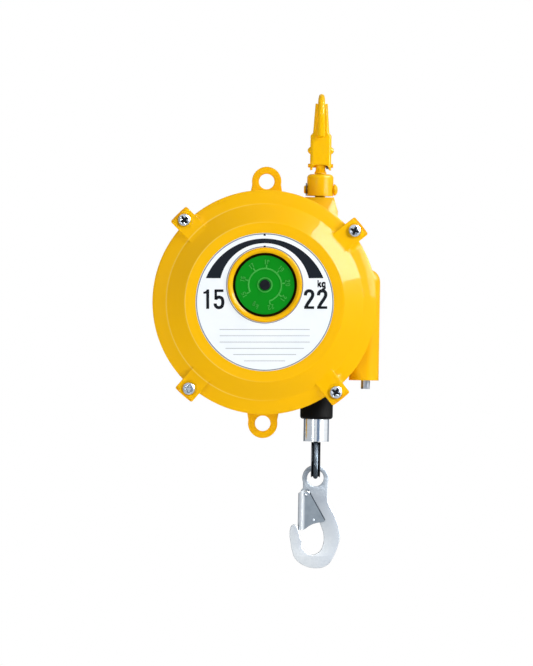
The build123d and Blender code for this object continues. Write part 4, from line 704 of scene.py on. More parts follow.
def curve_of(name, lines, kind="POLY", **settings):
    """A curve object with a spline through each line of points, and the curve's settings made."""
    curve = bpy.data.curves.new(name, "CURVE")
    for key, value in settings.items():
        setattr(curve, key, value)
    for line in lines:
        spline = curve.splines.new(kind)
        spline.points.add(len(line) - 1)
        for got, given in zip(spline.points, line):
            got.co = (*given, 1.0)
    return placed(name, curve)


def nurbs_path(name, points):
    """Points read from the smooth spline that has these control points."""
    made = curve_of(name, [points], "NURBS", dimensions="3D", resolution_u=24)
    spline = made.data.splines[0]
    spline.order_u = 3
    spline.use_endpoint_u = True
    line = bpy.data.meshes.new_from_object(made)
    read = [v.co.copy() for v in line.vertices]
    bpy.data.objects.remove(made)
    return read


def circle(radius, steps, across=0.0, up=0.0):
    """Points of a circle, counterclockwise."""
    return [
        (across + radius * cos(a * tau / steps), up + radius * sin(a * tau / steps)) for a in range(steps)
    ]


def joined(name, meshes):
    """Several closed meshes as one."""
    shape = bmesh.new()
    for mesh in meshes:
        shape.from_mesh(mesh)
    made = bpy.data.meshes.new(name)
    shape.to_mesh(made)
    shape.free()
    return made


# Wire rope
rope_top, rope_end = -0.2068, -0.33985
ROPE_R = 0.0024
rope_line = nurbs_path("rope_route", [(0, 0, z) for z in (rope_top, -0.240, -0.275, -0.308, rope_end)])
rope_rings = [[p + Vector((x, y, 0)) for x, y in circle(ROPE_R, 28)] for p in rope_line]
rope = piece(
    "hoisting_rope", rings_mesh("hoisting_rope", rope_rings), None, finish["rope"], "wire_rope", angle=60
)
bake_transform(rope)
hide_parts("load_rope")


def make_strands():
    """Strands laid round a line: a ring of circles swept along it, twisting with the length."""
    sizes = {"Strands": 6, "Strand Radius": 0.0008, "Rope Radius": ROPE_R, "Lay": 0.030, "Steps": 120}
    inputs = {"Line": "NodeSocketGeometry", **sizes, "Metal": "NodeSocketMaterial"}
    tree, given, out = group("laid_strands", "GeometryNodeTree", inputs, {"Mesh": "NodeSocketGeometry"})
    got = given.outputs
    line = add(tree, "GeometryNodeResampleCurve", {"Curve": got["Line"], "Count": got["Steps"]}).outputs[0]
    length = add(tree, "GeometryNodeSplineParameter").outputs["Length"]
    twist = calc(tree, "MULTIPLY", calc(tree, "DIVIDE", length, got["Lay"]), tau)
    line = add(tree, "GeometryNodeSetCurveTilt", {"Curve": line, "Tilt": twist}).outputs[0]
    along = add(tree, "GeometryNodeCaptureAttribute", {"Geometry": line}, domain="POINT")
    along.capture_items.new("FLOAT", "Along")
    tree.links.new(length, along.inputs["Along"])
    seat_r = calc(tree, "SUBTRACT", got["Rope Radius"], got["Strand Radius"])
    core_r = calc(tree, "SUBTRACT", got["Rope Radius"], calc(tree, "MULTIPLY", got["Strand Radius"], 1.6))
    seat, wire, core = (
        add(tree, "GeometryNodeCurvePrimitiveCircle", {"Resolution": count, "Radius": radius}).outputs[0]
        for count, radius in ((got["Strands"], seat_r), (10, got["Strand Radius"]), (8, core_r))
    )
    ring = add(tree, "GeometryNodeInstanceOnPoints", {"Points": seat, "Instance": wire}).outputs[0]
    profile = add(tree, "GeometryNodeJoinGeometry")
    tree.links.new(core, profile.inputs[0])
    tree.links.new(add(tree, "GeometryNodeRealizeInstances", {0: ring}).outputs[0], profile.inputs[0])
    around = add(tree, "GeometryNodeCaptureAttribute", {"Geometry": profile.outputs[0]}, domain="POINT")
    around.capture_items.new("FLOAT", "Around")
    tree.links.new(add(tree, "GeometryNodeSplineParameter").outputs["Factor"], around.inputs["Around"])
    sweep = {"Curve": along.outputs[0], "Profile Curve": around.outputs[0], "Fill Caps": True}
    swept = add(tree, "GeometryNodeCurveToMesh", sweep).outputs[0]
    place = add(
        tree, "ShaderNodeCombineXYZ", {"X": along.outputs["Along"], "Y": around.outputs["Around"]}
    ).outputs[0]
    map_of = {"Geometry": swept, "Name": "UVMap", "Value": place}
    stored = {"data_type": "FLOAT2", "domain": "CORNER"}
    mapped = add(tree, "GeometryNodeStoreNamedAttribute", map_of, **stored).outputs[0]
    smooth = add(tree, "GeometryNodeSetShadeSmooth", {"Geometry": mapped}).outputs[0]
    made = add(tree, "GeometryNodeSetMaterial", {"Geometry": smooth, "Material": got["Metal"]}).outputs[0]
    put(tree, out, "Mesh", made)
    return tree


def grown(name, tree, source, **sizes):
    """The mesh that a geometry tree makes from an object, with its named inputs set."""
    modifier = source.modifiers.new(name, "NODES")
    modifier.node_group = tree
    inputs = {s.name: s.identifier for s in tree.interface.items_tree if s.in_out == "INPUT"}
    for key, value in sizes.items():
        modifier[inputs[key.replace("_", " ")]] = value
    return baked(name, source)


# The loop's route: down one leg, round the thimble and up the other, in the plane that faces +X
sleeve_foot = -0.3489
bend_z = sleeve_foot - 0.0258
loop_route = [
    (0, y * MM, sleeve_foot + z * MM)
    for y, z in (
        (2.6, 8.5), (2.6, 4.0), (2.6, 0.0), (4.4, -6.5), (7.6, -14.0), (10.4, -20.5), (11.4, -27.5),
        (9.0, -33.6),
        (3.8, -36.4), (-3.8, -36.4), (-9.0, -33.6), (-11.4, -27.5), (-10.4, -20.5), (-7.6, -14.0),
        (-4.4, -6.5),
        (-2.6, 0.0), (-2.6, 4.0), (-2.6, 8.5),
    )
]
loop_line = nurbs_path("loop_route", loop_route)
loop_curve = curve_of("loop_line", [loop_line], dimensions="3D")
laid = {"Strands": 6, "Strand_Radius": 0.00082, "Rope_Radius": ROPE_R, "Lay": 0.026, "Steps": 150}
loop_mesh = grown("rope_loop_strands", make_strands(), loop_curve, Metal=finish["strand"], **laid)
loop = piece(
    "rope_loop_strands", loop_mesh, "load_end", finish["strand"], "wire_rope", ["rope_loop"], angle=0
)


def tube(name, line, radius):
    """A round tube along points."""
    rings = []
    for i, p in enumerate(line):
        way = (line[min(i + 1, len(line) - 1)] - line[max(i - 1, 0)]).normalized()
        side = way.cross(Vector((0, 1, 0.001))).normalized()
        rings.append([p + side * x + way.cross(side) * y for x, y in circle(radius, 12)])
    return rings_mesh(name, rings)


# The rope on the drum: its turns, and in mm the first one's radius, the rise of the taper and the width taken
TURNS, FIRST_R, TAPER, WOUND_WIDTH = 5, 55.3, 22.3, 35.0
wound = []
for k in range(361):
    share = k / 360
    turn, out = TURNS * tau * share, (FIRST_R + TAPER * share) * MM
    wound.append(Vector((axis_x + out * cos(turn), WOUND_WIDTH * MM * share, axis_z + out * sin(turn))))
piece(
    "wound_rope", tube("wound_rope", wound, ROPE_R), "drum", finish["strand"], "wire_rope",
    ["rope_windings"]
)

# The thimble, a channel of sheet that the loop lies in: its section across, and towards the loop's inside
outer_wall = [
    (4.6, -0.8), (4.75, 0.6), (3.7, 2.5), (2.0, 3.3), (-2.0, 3.3), (-3.7, 2.5), (-4.75, 0.6), (-4.6, -0.8)
]
inner_wall = [
    (-3.9, -0.6), (-3.9, 0.4), (-2.9, 1.8), (-1.6, 2.5), (1.6, 2.5), (2.9, 1.8), (3.9, 0.4), (3.9, -0.6)
]
held = [p for p in loop_line if p.z < sleeve_foot - 0.0008]
channel = []
for i, p in enumerate(held):
    way = (held[min(i + 1, len(held) - 1)] - held[max(i - 1, 0)]).normalized()
    inwards = Vector((0, way.z, -way.y))
    if (Vector((0, 0, bend_z)) - p).dot(inwards) < 0:
        inwards = -inwards
    room_left = abs(p.y) - 0.0001
    section = outer_wall + inner_wall
    channel.append([p + Vector((x * MM, 0, 0)) + inwards * min(deep * MM, room_left) for x, deep in section])
piece(
    "rope_thimble", rings_mesh("rope_thimble", channel), "load_end", finish["dark"], "zinc_steel",
    ["thimble"], angle=35
)


# Upper hook and its latch
def along(points, at):
    """A value read off a broken line of (place, value) points."""
    for (p0, v0), (p1, v1) in zip(points, points[1:]):
        if at <= p1:
            return v0 + (v1 - v0) * max(0.0, at - p0) / (p1 - p0)
    return points[-1][1]


def oval(inner, outer, half_width, power, steps=28):
    """A rounded section between an inner and an outer point of the hook's outline, in the YZ plane."""
    middle, reach = (inner + outer) / 2, (outer - inner) / 2
    ring = []
    for k in range(steps):
        turn = k * tau / steps
        c, s = (copysign(abs(v) ** (2 / power), v) for v in (cos(turn), sin(turn)))
        at = middle + reach * c
        ring.append((half_width * s * MM, at.x * MM, at.y * MM))
    return ring


# Half the forging's width by depth below the frame's origin, in mm: narrow at the top, full at the latch pin
HOOK_WIDTHS = [(-9.5, 2.4), (-3.0, 3.5), (30.5, 4.0), (52.0, 5.0)]
BOWL_IN, BOWL_OUT = 13.5, 23.0
bowl = Vector((0, -BOWL_IN))
tip = Vector((-14.8, -32.6))
stations = []
for k in range(8):
    turn = radians(90 - 90 * k / 8)
    drop = Vector((0, -3.5 * sin(turn)))
    side = Vector((3.5 * max(cos(turn), 0.02), 0))
    stations.append((tip + drop + side, tip + drop - side, max(cos(turn) ** 0.6, 0.05)))
for k in range(5):
    share = k / 5
    rise = tip.y + (bowl.y - tip.y) * share
    stations.append((Vector((-11.3 - 2.2 * share, rise)), Vector((-18.2 - 4.8 * share, rise)), 1.0))
for k in range(25):
    turn = radians(180 - 180 * k / 24)
    way = Vector((cos(turn), sin(turn)))
    stations.append((bowl + way * BOWL_IN, bowl + way * BOWL_OUT, 1.0))
outer_side = smooth_line(
    [Vector(p) for p in ((23, -13.5), (21.4, -26), (18.0, -38), (13.2, -50), (8.6, -62.6))], 4
)
inner_side = smooth_line(
    [Vector(p) for p in ((13.5, -13.5), (12.4, -27), (8.4, -41), (2.0, -52), (-8.2, -63.4))], 4
)
stations += [(a, b, 1.0) for a, b in zip(inner_side[1:], outer_side[1:])]
for k in range(1, 8):
    turn = radians(90 * k / 8)
    drop = -64.6 - 8.6 * sin(turn)
    stations.append((Vector((-8.6 * cos(turn), drop)), Vector((8.6 * cos(turn), drop)), 1.0))
hook_rings = [
    oval(a, b, along(HOOK_WIDTHS, -(a.y + b.y) / 2) * w, 2.3 if b.y > -40 else 3.4) for a, b, w in stations
]
neck = [(4.95, -62), (4.95, -68.5), (5.2, -70.3), (6.2, -71.6), (6.2, -72.9), (4.95, -73.3), (4.95, -82.0)]
neck_rings = [[(x, y, z * MM) for x, y in circle(r * MM, 36)] for r, z in neck]
hook_parts = [rings_mesh("hook_rings", hook_rings), rings_mesh("neck_rings", neck_rings)]
forged_hook_mesh = joined("forged_hook_body", hook_parts)
piece("forged_hook_body", forged_hook_mesh, "hook", finish["hook"], "yellow_steel", ["upper_hook"], angle=50)


def folded_sheet(name, place, columns, rows):
    """A bent sheet. place(column, share of the height, inside) gives the points of its two faces, in mm."""
    points, faces = [], []
    for inside in (0, 1):
        for j in range(rows + 1):
            for i in range(columns + 1):
                points.append(Vector(place(i, j / rows, inside)) * MM)
    step = columns + 1
    back = step * (rows + 1)
    for j in range(rows):
        for i in range(columns):
            a = j * step + i
            faces.append((a, a + 1, a + step + 1, a + step))
            faces.append((back + a, back + a + step, back + a + step + 1, back + a + 1))
    for j in range(rows):
        for a in (j * step, j * step + columns):
            faces.append((a, a + step, back + a + step, back + a))
    for i in range(columns):
        for a in (i, rows * step + i):
            faces.append((a, a + 1, back + a + 1, back + a))
    return mesh_of(name, points, faces)


# The upper latch, in mm: a channel of sheet, wide at its pin and narrow at its tip, with an arch in its foot
SHEET, LATCH_BEND, LATCH_FRONT = 1.6, 3.4, -10.6
LATCH_FOOT, LATCH_TIP, LATCH_HALF = -69.3, -0.9, 10.85
ARCH, PIN_UP = 5.6, -64.6
latch_half = [(LATCH_FOOT, LATCH_HALF), (-33.0, LATCH_HALF), (-31.6, 8.4), (LATCH_TIP, 6.3)]
latch_back = [(PIN_UP, ARCH), (-45.7, -2.6), (-31.7, -5.6), (LATCH_TIP, -6.6)]
# Across the sheet: the part, the side it is on, and how far along it from its edge
latch_columns = [("flank", -1, k / 6) for k in range(7)] + [("bend", -1, k / 6) for k in range(1, 7)]
latch_columns += [("web", 1, k / 12) for k in range(1, 12)]
latch_columns += [(part, 1, at) for part, side, at in latch_columns[12::-1]]


def latch_point(column, share, inside):
    """A point of the latch's sheet, counted from its left flank over the web to the right flank."""
    part, mirror, at = latch_columns[column]
    thick = SHEET * inside
    middle = abs(2 * at - 1)
    rounded = LATCH_HALF - LATCH_BEND * (1 - cos(at * pi / 2))
    reach = {"flank": LATCH_HALF, "bend": rounded, "web": middle * 7.4}[part]
    foot = LATCH_FOOT + ARCH * max(0.0, 1 - (reach / 9.6) ** 3) ** 0.5
    top = LATCH_TIP if part != "web" else -6.0 + 5.1 * middle**4
    z = foot + (top - foot) * share
    half = along(latch_half, z) - thick
    bend = LATCH_BEND * min(1.0, half / 9.0) - thick * 0.7
    front = LATCH_FRONT + thick
    rear = along(latch_back, z) if z > PIN_UP else max(0.0, ARCH**2 - (z - PIN_UP) ** 2) ** 0.5
    if part == "flank":
        return (mirror * half, rear + (front + bend - rear) * at, z)
    if part == "bend":
        turn = at * pi / 2
        return (mirror * (half - bend + bend * cos(turn)), front + bend - bend * sin(turn), z)
    return ((2 * at - 1) * (half - bend), front, z)


def dome(centre, radius, height, side):
    """A pressed bump on a flank, round in plan and pointed to a side."""
    rings = []
    for k in range(7):
        lift = k / 7
        ring = circle(radius * (1 - lift**1.6) ** 0.8, 24, centre[1], centre[2])
        rings.append([((centre[0] + side * height * lift) * MM, y * MM, z * MM) for y, z in ring])
    return rings_mesh("bump", rings)


latch_parts = [folded_sheet("latch_sheet", latch_point, len(latch_columns) - 1, 48)]
latch_parts += [dome((side * 10.4, -4.0, -49.1), 3.9, 3.6, side) for side in (1, -1)]
piece(
    "folded_latch", joined("folded_latch", latch_parts), "latch", finish["hook"], "yellow_steel",
    ["upper_latch"], angle=38
)


# Print and dial figures
def inset(loop, by):
    """An outline that runs counterclockwise, moved inwards."""
    moved = []
    for i, (x, y) in enumerate(loop):
        before, after = Vector(loop[i - 1]), Vector(loop[(i + 1) % len(loop)])
        way = (after - before).normalized()
        moved.append((x - way.y * by, y + way.x * by))
    return moved


def slab(name, loops, half, edge=0.0):
    """A flat plate about Z=0 with rounded edges, from outlines in mm: its outside, then its holes."""
    walls = bmesh.new()
    lid_loops = []
    steps = 5 if edge else 1
    for count, loop in enumerate(loops):
        area = sum(x0 * y1 - x1 * y0 for (x0, y0), (x1, y1) in zip(loop, loop[1:] + loop[:1]))
        loop = loop if area > 0 else loop[::-1]
        side = -1 if count else 1
        profile = []
        for k in range(steps):
            turn = pi / 2 * k / max(1, steps - 1)
            profile.append((edge * (1 - sin(turn)), half - edge * (1 - cos(turn))))
        profile += [(by, -height) for by, height in reversed(profile)]
        rows = []
        for by, height in profile:
            rows.append([walls.verts.new((x * MM, y * MM, height * MM)) for x, y in inset(loop, side * by)])
        for low, high in zip(rows, rows[1:]):
            for i in range(len(loop)):
                walls.faces.new((low[i - 1], low[i], high[i], high[i - 1]))
        lid_loops.append([(x * MM, y * MM, 0) for x, y in inset(loop, side * edge)])
    made = curve_of(name, lid_loops, dimensions="2D", fill_mode="BOTH")
    for spline in made.data.splines:
        spline.use_cyclic_u = True
    bpy.context.view_layer.update()
    lid = bpy.data.meshes.new_from_object(made)
    bpy.data.objects.remove(made)
    for height in (half, -half):
        shifted = lid.copy()
        shifted.transform(Matrix.Translation((0, 0, height * MM)))
        walls.from_mesh(shifted)
    bmesh.ops.remove_doubles(walls, verts=walls.verts, dist=1e-6)
    bmesh.ops.dissolve_degenerate(walls, edges=walls.edges, dist=1e-7)
    bmesh.ops.recalc_face_normals(walls, faces=walls.faces)
    mesh = bpy.data.meshes.new(name)
    walls.to_mesh(mesh)
    walls.free()
    return mesh


def stroke(points, width):
    """The outline of a pen stroke of one width along points."""
    line = [Vector(p) for p in points]
    left, right = [], []
    for i, p in enumerate(line):
        way = (line[min(i + 1, len(line) - 1)] - line[max(i - 1, 0)]).normalized() * (width / 2)
        left.append((p.x - way.y, p.y + way.x))
        right.append((p.x + way.y, p.y - way.x))
    return left + right[::-1]


def soft(points, steps=5):
    """Points of a soft curve through flat points."""
    return smooth_line([Vector(p) for p in points], steps)


# The figures, drawn 10 high: each has bars as outlines, soft strokes and its width
GLYPHS = {
    "1": (
        [
            [
                (3.0, 0), (3.0, 10), (1.7, 10), (1.4, 9.3), (0.8, 8.9), (0, 8.75), (0, 7.8), (1.45, 7.8),
                (1.45, 0)
            ]
        ],
        [], 3.0
    ),
    "2": (
        [[(0, 0), (5.2, 0), (5.2, 1.35), (0, 1.35)]],
        [
            (
                (0.75, 6.9), (0.85, 8.0), (1.6, 9.0), (2.65, 9.25), (3.8, 8.9), (4.4, 7.9), (4.3, 6.5),
                (3.4, 4.9), (1.9, 2.7), (0.95, 0.9)
            )
        ],
        5.2
    ),
    "5": (
        [[(0.3, 8.65), (4.9, 8.65), (4.9, 10), (0.3, 10)], [(0.3, 4.7), (1.6, 4.7), (1.6, 10), (0.3, 10)]],
        [
            (
                (0.9, 5.0), (1.7, 5.8), (2.8, 6.0), (4.0, 5.5), (4.5, 4.3), (4.5, 2.6), (4.0, 1.2),
                (2.7, 0.65), (1.4, 1.0), (0.75, 2.0), (0.7, 2.8)
            )
        ],
        5.2
    ),
    "6": (
        [],
        [
            (
                (4.4, 8.0), (3.8, 9.1), (2.7, 9.3), (1.4, 8.7), (0.8, 7.0), (0.75, 4.0), (0.8, 2.4),
                (1.5, 0.95), (2.7, 0.65), (3.9, 1.1), (4.5, 2.6), (4.4, 4.2), (3.5, 5.4), (2.2, 5.5),
                (1.0, 4.4)
            )
        ],
        5.2
    ),
    "7": (
        [[(0.2, 8.65), (5.0, 8.65), (5.0, 10), (0.2, 10)]],
        [((4.2, 9.2), (3.2, 6.4), (2.4, 3.4), (2.1, 0.0))], 5.2
    ),
    "8": (
        [],
        [
            (
                (2.6, 5.3), (1.3, 6.0), (1.0, 7.4), (1.6, 8.9), (2.6, 9.3), (3.7, 8.9), (4.3, 7.4),
                (3.9, 6.0), (2.6, 5.3), (1.2, 4.4), (0.8, 2.8), (1.4, 1.1), (2.6, 0.65), (3.9, 1.1),
                (4.5, 2.8), (4.0, 4.4), (2.6, 5.3)
            )
        ],
        5.2
    ),
    "9": (
        [],
        [
            (
                (0.8, 2.0), (1.4, 0.9), (2.5, 0.65), (3.8, 1.3), (4.4, 3.0), (4.45, 6.0), (4.4, 7.6),
                (3.7, 9.0), (2.5, 9.3), (1.3, 8.9), (0.7, 7.4), (0.8, 5.8), (1.7, 4.6), (3.0, 4.5),
                (4.2, 5.6)
            )
        ],
        5.2
    ),
    "0": (
        [],
        [
            (
                (2.6, 9.3), (1.3, 8.7), (0.8, 6.8), (0.75, 3.2), (1.3, 1.3), (2.6, 0.65), (3.9, 1.3),
                (4.45, 3.2), (4.4, 6.8), (3.9, 8.7), (2.6, 9.3)
            )
        ],
        5.2
    ),
    "k": (
        [[(0, 0), (1.5, 0), (1.5, 10), (0, 10)]],
        [((0.9, 2.6), (2.6, 4.6), (4.4, 6.9)), ((2.0, 4.2), (3.2, 2.4), (4.7, 0.0))], 5.0
    ),
    "g": (
        [[(3.6, 0.2), (5.1, 0.2), (5.1, 6.9), (3.6, 6.9)]],
        [
            (
                (4.3, 5.2), (3.6, 6.1), (2.5, 6.25), (1.2, 5.5), (0.8, 3.5), (1.2, 1.5), (2.5, 0.75),
                (3.7, 1.2), (4.3, 2.0)
            ),
            ((4.35, 0.6), (4.2, -1.3), (3.2, -2.25), (1.8, -2.2), (0.8, -1.5))
        ],
        5.1
    ),
}


def figures(text, height, thick, pen, gap):
    """Plain figures as thin solids, flat in XY and centred. Height and thickness are in mm."""
    x, parts = 0.0, []
    scale = height / 10
    for letter in text:
        bars, strokes, width = GLYPHS[letter]
        for outline in bars + [stroke(soft(line), pen) for line in strokes]:
            flat = slab(text, [outline], thick / 2 / scale)
            flat.transform(Matrix.Translation((x * MM, 0, 0)))
            parts.append(flat)
        x += width + gap
    mesh = joined(text, parts)
    middle = Vector(((x - gap) / 2 * MM, 5 * MM, 0))
    mesh.transform(Matrix.Diagonal((scale, scale, scale, 1)) @ Matrix.Translation(-middle))
    return mesh


def facing_front(across, up, y, turn=0.0):
    """Takes a flat mesh onto the front, about a place in mm from the drum's axis, turned counterclockwise."""
    return (
        Matrix.Translation((axis_x + across * MM, y, axis_z + up * MM))
        @ Matrix.Rotation(radians(90), 4, "X")
        @ Matrix.Rotation(turn, 4, "Z")
    )


plate_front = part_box("rating_plate")[0].y
drum_axis = Matrix.Translation((axis_x, 0, axis_z))
lean = drum_axis @ Matrix.Rotation(-picture_roll, 4, "Y") @ drum_axis.inverted()
print_parts = []
for text, across, up, height, pen, gap in (
    ("15", -52.0, 3.0, 19.9, 1.62, 2.4),
    ("22", 52.0, 3.0, 19.9, 1.66, 1.5),
    ("kg", 58.0, 18.8, 7.4, 2.5, 0.9),
):
    mesh = figures(text, height, 0.1, pen, gap)
    mesh.transform(lean @ facing_front(across, up, plate_front - 0.02 * MM))
    print_parts.append(mesh)
piece("load_figures", joined("load_figures", print_parts), "housing", finish["ink"], "plate_print", angle=30)

dial_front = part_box("dial")[0].y
FIGURES_R, FIGURES_HIGH, FIGURES_THICK = 23.4, 4.9, 0.9
SCALE_START, SCALE_STEP = -74, 40
dial_marks = [(text, 86 + SCALE_STEP * count) for count, text in enumerate(("18", "17", "16", "15"))]
dial_marks += [(text, 46 - SCALE_STEP * count) for count, text in enumerate(("19", "20", "21", "22"))]
dial_marks.append(("kg", SCALE_START - SCALE_STEP))
dial_meshes = []
for text, angle in dial_marks:
    mesh = figures(text, FIGURES_HIGH, FIGURES_THICK, 1.5, 2.4)
    way = radians(angle)
    across, up = FIGURES_R * cos(way), DIAL_UP + FIGURES_R * sin(way)
    mesh.transform(facing_front(across, up, dial_front, way - pi / 2))
    dial_meshes.append(mesh)


RAISED, SUNK, SLOPE = dial_front - 0.5 * MM, dial_front + 0.3 * MM, 0.15


def arc_band(name, inner, outer, start, end, steps):
    """A raised band round the dial's centre, between two radii in mm and two angles in degrees."""
    section = ((inner, SUNK), (inner + SLOPE, RAISED), (outer - SLOPE, RAISED), (outer, SUNK))
    rings = []
    for k in range(steps + 1):
        way = radians(start + (end - start) * k / steps)
        rings.append([(axis_x + r * cos(way) * MM, y, dial_z + r * sin(way) * MM) for r, y in section])
    return rings_mesh(name, rings)


dial_meshes.append(arc_band("scale_arc", 16.0, 17.6, SCALE_START, 206, 110))
dial_meshes.append(arc_band("hub_ring", 6.5, 7.9, 0, 359.9, 80))
for angle in range(SCALE_START, 207, SCALE_STEP):
    dial_meshes.append(arc_band("scale_tick", 17.2, 20.7, angle - 1.9, angle + 1.9, 2))
# the figures and marks take the lighter green, a painted highlight
piece("dial_figures", joined("dial_figures", dial_meshes), "dial", finish["relief"], "green_dial", angle=35)


# Snap hook, its gate and rivet
eye_z = -0.3867
EYE_R, EYE_HOLE_R, TIP_R, HOOK_HALF, HOOK_EDGE = 13.5, 8.6, 3.6, 4.0, 0.5
shoulder = [
    (-12.6, -10.5), (-14.4, -12.6), (-15.3, -15.9), (-14.4, -19.2), (-12.0, -21.7), (-8.5, -22.7),
    (-5.2, -23.4)
]
throat = [
    (-2.0, -26.0), (4.5, -44.0), (9.6, -60.0), (7.0, -73.8), (-2.0, -79.1), (-12.0, -73.0), (-13.6, -64.0),
    (-17.5, -51.6)
]
back = [
    (-24.9, -51.8), (-25.4, -61.4), (-19.5, -83.5), (-2.0, -92.8), (16.0, -87.4), (26.4, -60.0),
    (20.4, -38.0), (13.4, -24.2), (12.6, -7.0)
]
hook_outline = [(EYE_R * cos(radians(a)), EYE_R * sin(radians(a))) for a in range(-20, 201, 5)]
hook_outline += shoulder + [tuple(p) for p in soft(throat, 8)]
hook_outline += [
    (-21.1 + TIP_R * cos(radians(a)), -51.8 + TIP_R * sin(radians(a))) for a in range(20, 180, 20)
]
hook_outline += [tuple(p) for p in soft(back, 10)]
snap_mesh = slab("snap_hook_forging", [hook_outline, circle(EYE_HOLE_R, 48)], HOOK_HALF, HOOK_EDGE)
snap_mesh.transform(Matrix.Translation((0, 0, eye_z)) @ Matrix.Rotation(radians(90), 4, "X"))
piece("snap_hook_forging", snap_mesh, "snap_hook", finish["forged"], "forged_zinc", ["snap_hook"], angle=20)

# Its gate, in mm from the eye: sheet bent round a half circle at the left, both cheeks cut to one outline
GATE_HALF, GATE_SHEET, GATE_FOLD, GATE_EDGE = 5.6, 1.2, -11.8, 10.6
gate_run = GATE_EDGE - GATE_FOLD
gate_path = [(GATE_EDGE - gate_run * k / 24, 1) for k in range(25)]
gate_path += [(k, 0) for k in range(1, 16)]
gate_path += [(GATE_FOLD + gate_run * k / 24, -1) for k in range(25)]
gate_head = [(-17.4, -15.9), (-9.9, -11.2), (-7.4, -11.6), (-5.7, -13.9), (10.9, -42.8)]
gate_foot = [
    (-17.4, -53.8), (-12.0, -53.8), (-9.6, -52.4), (-5.7, -49.4), (-1.5, -47.2), (4.0, -45.8), (9.5, -44.9),
    (10.9, -42.8)
]


def gate_point(column, share, inside):
    """A point of the gate's sheet, from the front cheek round the fold to the back cheek."""
    at, side = gate_path[column]
    deep = GATE_HALF - GATE_SHEET * inside
    x, y, reach = at, -side * deep, at
    if not side:
        turn = radians(90 + 180 * at / 16)
        x, y = GATE_FOLD + deep * cos(turn), -deep * sin(turn)
        reach = GATE_FOLD - GATE_HALF * sin(pi * at / 16)
    low, high = along(gate_foot, reach), along(gate_head, reach)
    return (x, y, low + (high - low) * share + eye_z / MM)


gate_mesh = folded_sheet("folded_gate", gate_point, len(gate_path) - 1, 24)
piece("folded_gate", gate_mesh, "snap_gate", finish["gate"], "zinc_steel", ["snap_gate"], angle=38)


def button(name, x, z, y, radius, rise, hollow):
    """A round head at the front, its middle dished by a share of its rise. All in mm from the eye."""
    dished = 1.0 - hollow
    section = (
        (1.0, 0.0), (1.0, 0.45), (0.93, 0.78), (0.78, 0.95), (0.55, 1.0), (0.42, dished), (0.15, dished)
    )
    rings = []
    for share, lift in section:
        ring = circle(radius * share, 32, x, z)
        rings.append([(across * MM, (y - rise * lift) * MM, eye_z + up * MM) for across, up in ring])
    return rings_mesh(name, rings)


RIVET_X, RIVET_Z, RIVET_R, RIVET_DISH = -8.5, -15.9, 2.9, 0.5
rivet_parts = [
    button("rivet_front", RIVET_X, RIVET_Z, -5.55, RIVET_R, 1.3, RIVET_DISH),
    button("rivet_back", RIVET_X, RIVET_Z, 5.55, RIVET_R, -1.3, RIVET_DISH),
    button("rivet_shank", RIVET_X, RIVET_Z, 5.8, 2.4, 11.6, 0.0),
]
piece(
    "gate_rivet", joined("gate_rivet", rivet_parts), "snap_hook", finish["zinc"], "zinc_steel", ["gate_pin"]
)
piece(
    "gate_punch", button("gate_punch", -1.3, -43.2, -5.5, 1.35, 0.35, 0.6), "snap_gate", finish["zinc"],
    "zinc_steel"
)


# Screws
def screw_head(name, radius, height, slot_half, slot_reach, slot_depth, shank_r, shank_len):
    """A pan head screw with a cross recess, its axis along Y and its seat at the origin."""
    around, rows = 96, 15
    rings = []
    for k in range(1, rows + 1):
        share = k / rows
        crown = height * sqrt(1 - (share * 0.88) ** 3.2)
        ring = []
        for x, z in circle(radius * share, around):
            depth = 0.0
            for a, b in ((x, z), (z, x)):
                flank = (slot_half - abs(a)) / 0.35
                end = (slot_reach - abs(b)) / 0.6
                depth = max(depth, min(1.0, max(0.0, min(flank, end))))
            ring.append((x * MM, -(crown - slot_depth * depth) * MM, z * MM))
        rings.append(ring)
    rim = rings[-1]
    for share, y in ((1.0, -0.25), (0.97, 0.0)):
        rings.append([(p[0] * share, y * MM, p[2] * share) for p in rim])
    for y in (0.0, shank_len):
        rings.append([(x * MM, y * MM, z * MM) for x, z in circle(shank_r, around)])
    return rings_mesh(name, rings)


def make_fastening():
    """Puts one screw at each point of a mesh, turned by the point's own angle."""
    inputs = {"Points": "NodeSocketGeometry", "Screw": "NodeSocketObject", "Metal": "NodeSocketMaterial"}
    tree, given, out = group("set_of_screws", "GeometryNodeTree", inputs, {"Mesh": "NodeSocketGeometry"})
    got = given.outputs
    screw = add(tree, "GeometryNodeObjectInfo", {"Object": got["Screw"]}).outputs["Geometry"]
    angle = add(tree, "GeometryNodeInputNamedAttribute", {"Name": "turn"}, data_type="FLOAT").outputs[0]
    spin = add(tree, "ShaderNodeCombineXYZ", {"Y": angle}).outputs[0]
    spots = add(tree, "GeometryNodeMeshToPoints", {"Mesh": got["Points"]}).outputs[0]
    turned_screws = {"Points": spots, "Instance": screw, "Rotation": spin}
    fastened = add(tree, "GeometryNodeInstanceOnPoints", turned_screws).outputs[0]
    solid = add(tree, "GeometryNodeRealizeInstances", {0: fastened}).outputs[0]
    made = add(tree, "GeometryNodeSetMaterial", {"Geometry": solid, "Material": got["Metal"]}).outputs[0]
    put(tree, out, "Mesh", made)
    return tree


FASTEN = make_fastening()


def screws(name, screw, places, stands_for, kind):
    """A set of the same screw at places of the case, with a turn each, as one piece."""
    pattern = bpy.data.objects.new(name + "_pattern", screw)
    spots = bpy.data.meshes.new(name)
    spots.from_pydata([p for p, turn in places], [], [])
    spots.attributes.new("turn", "FLOAT", "POINT").data.foreach_set("value", [turn for p, turn in places])
    mesh = grown(name, FASTEN, placed(name, spots), Screw=pattern, Metal=finish[kind])
    bpy.data.objects.remove(pattern)
    piece(name, mesh, "housing", finish[kind], "zinc_steel", stands_for, angle=45)


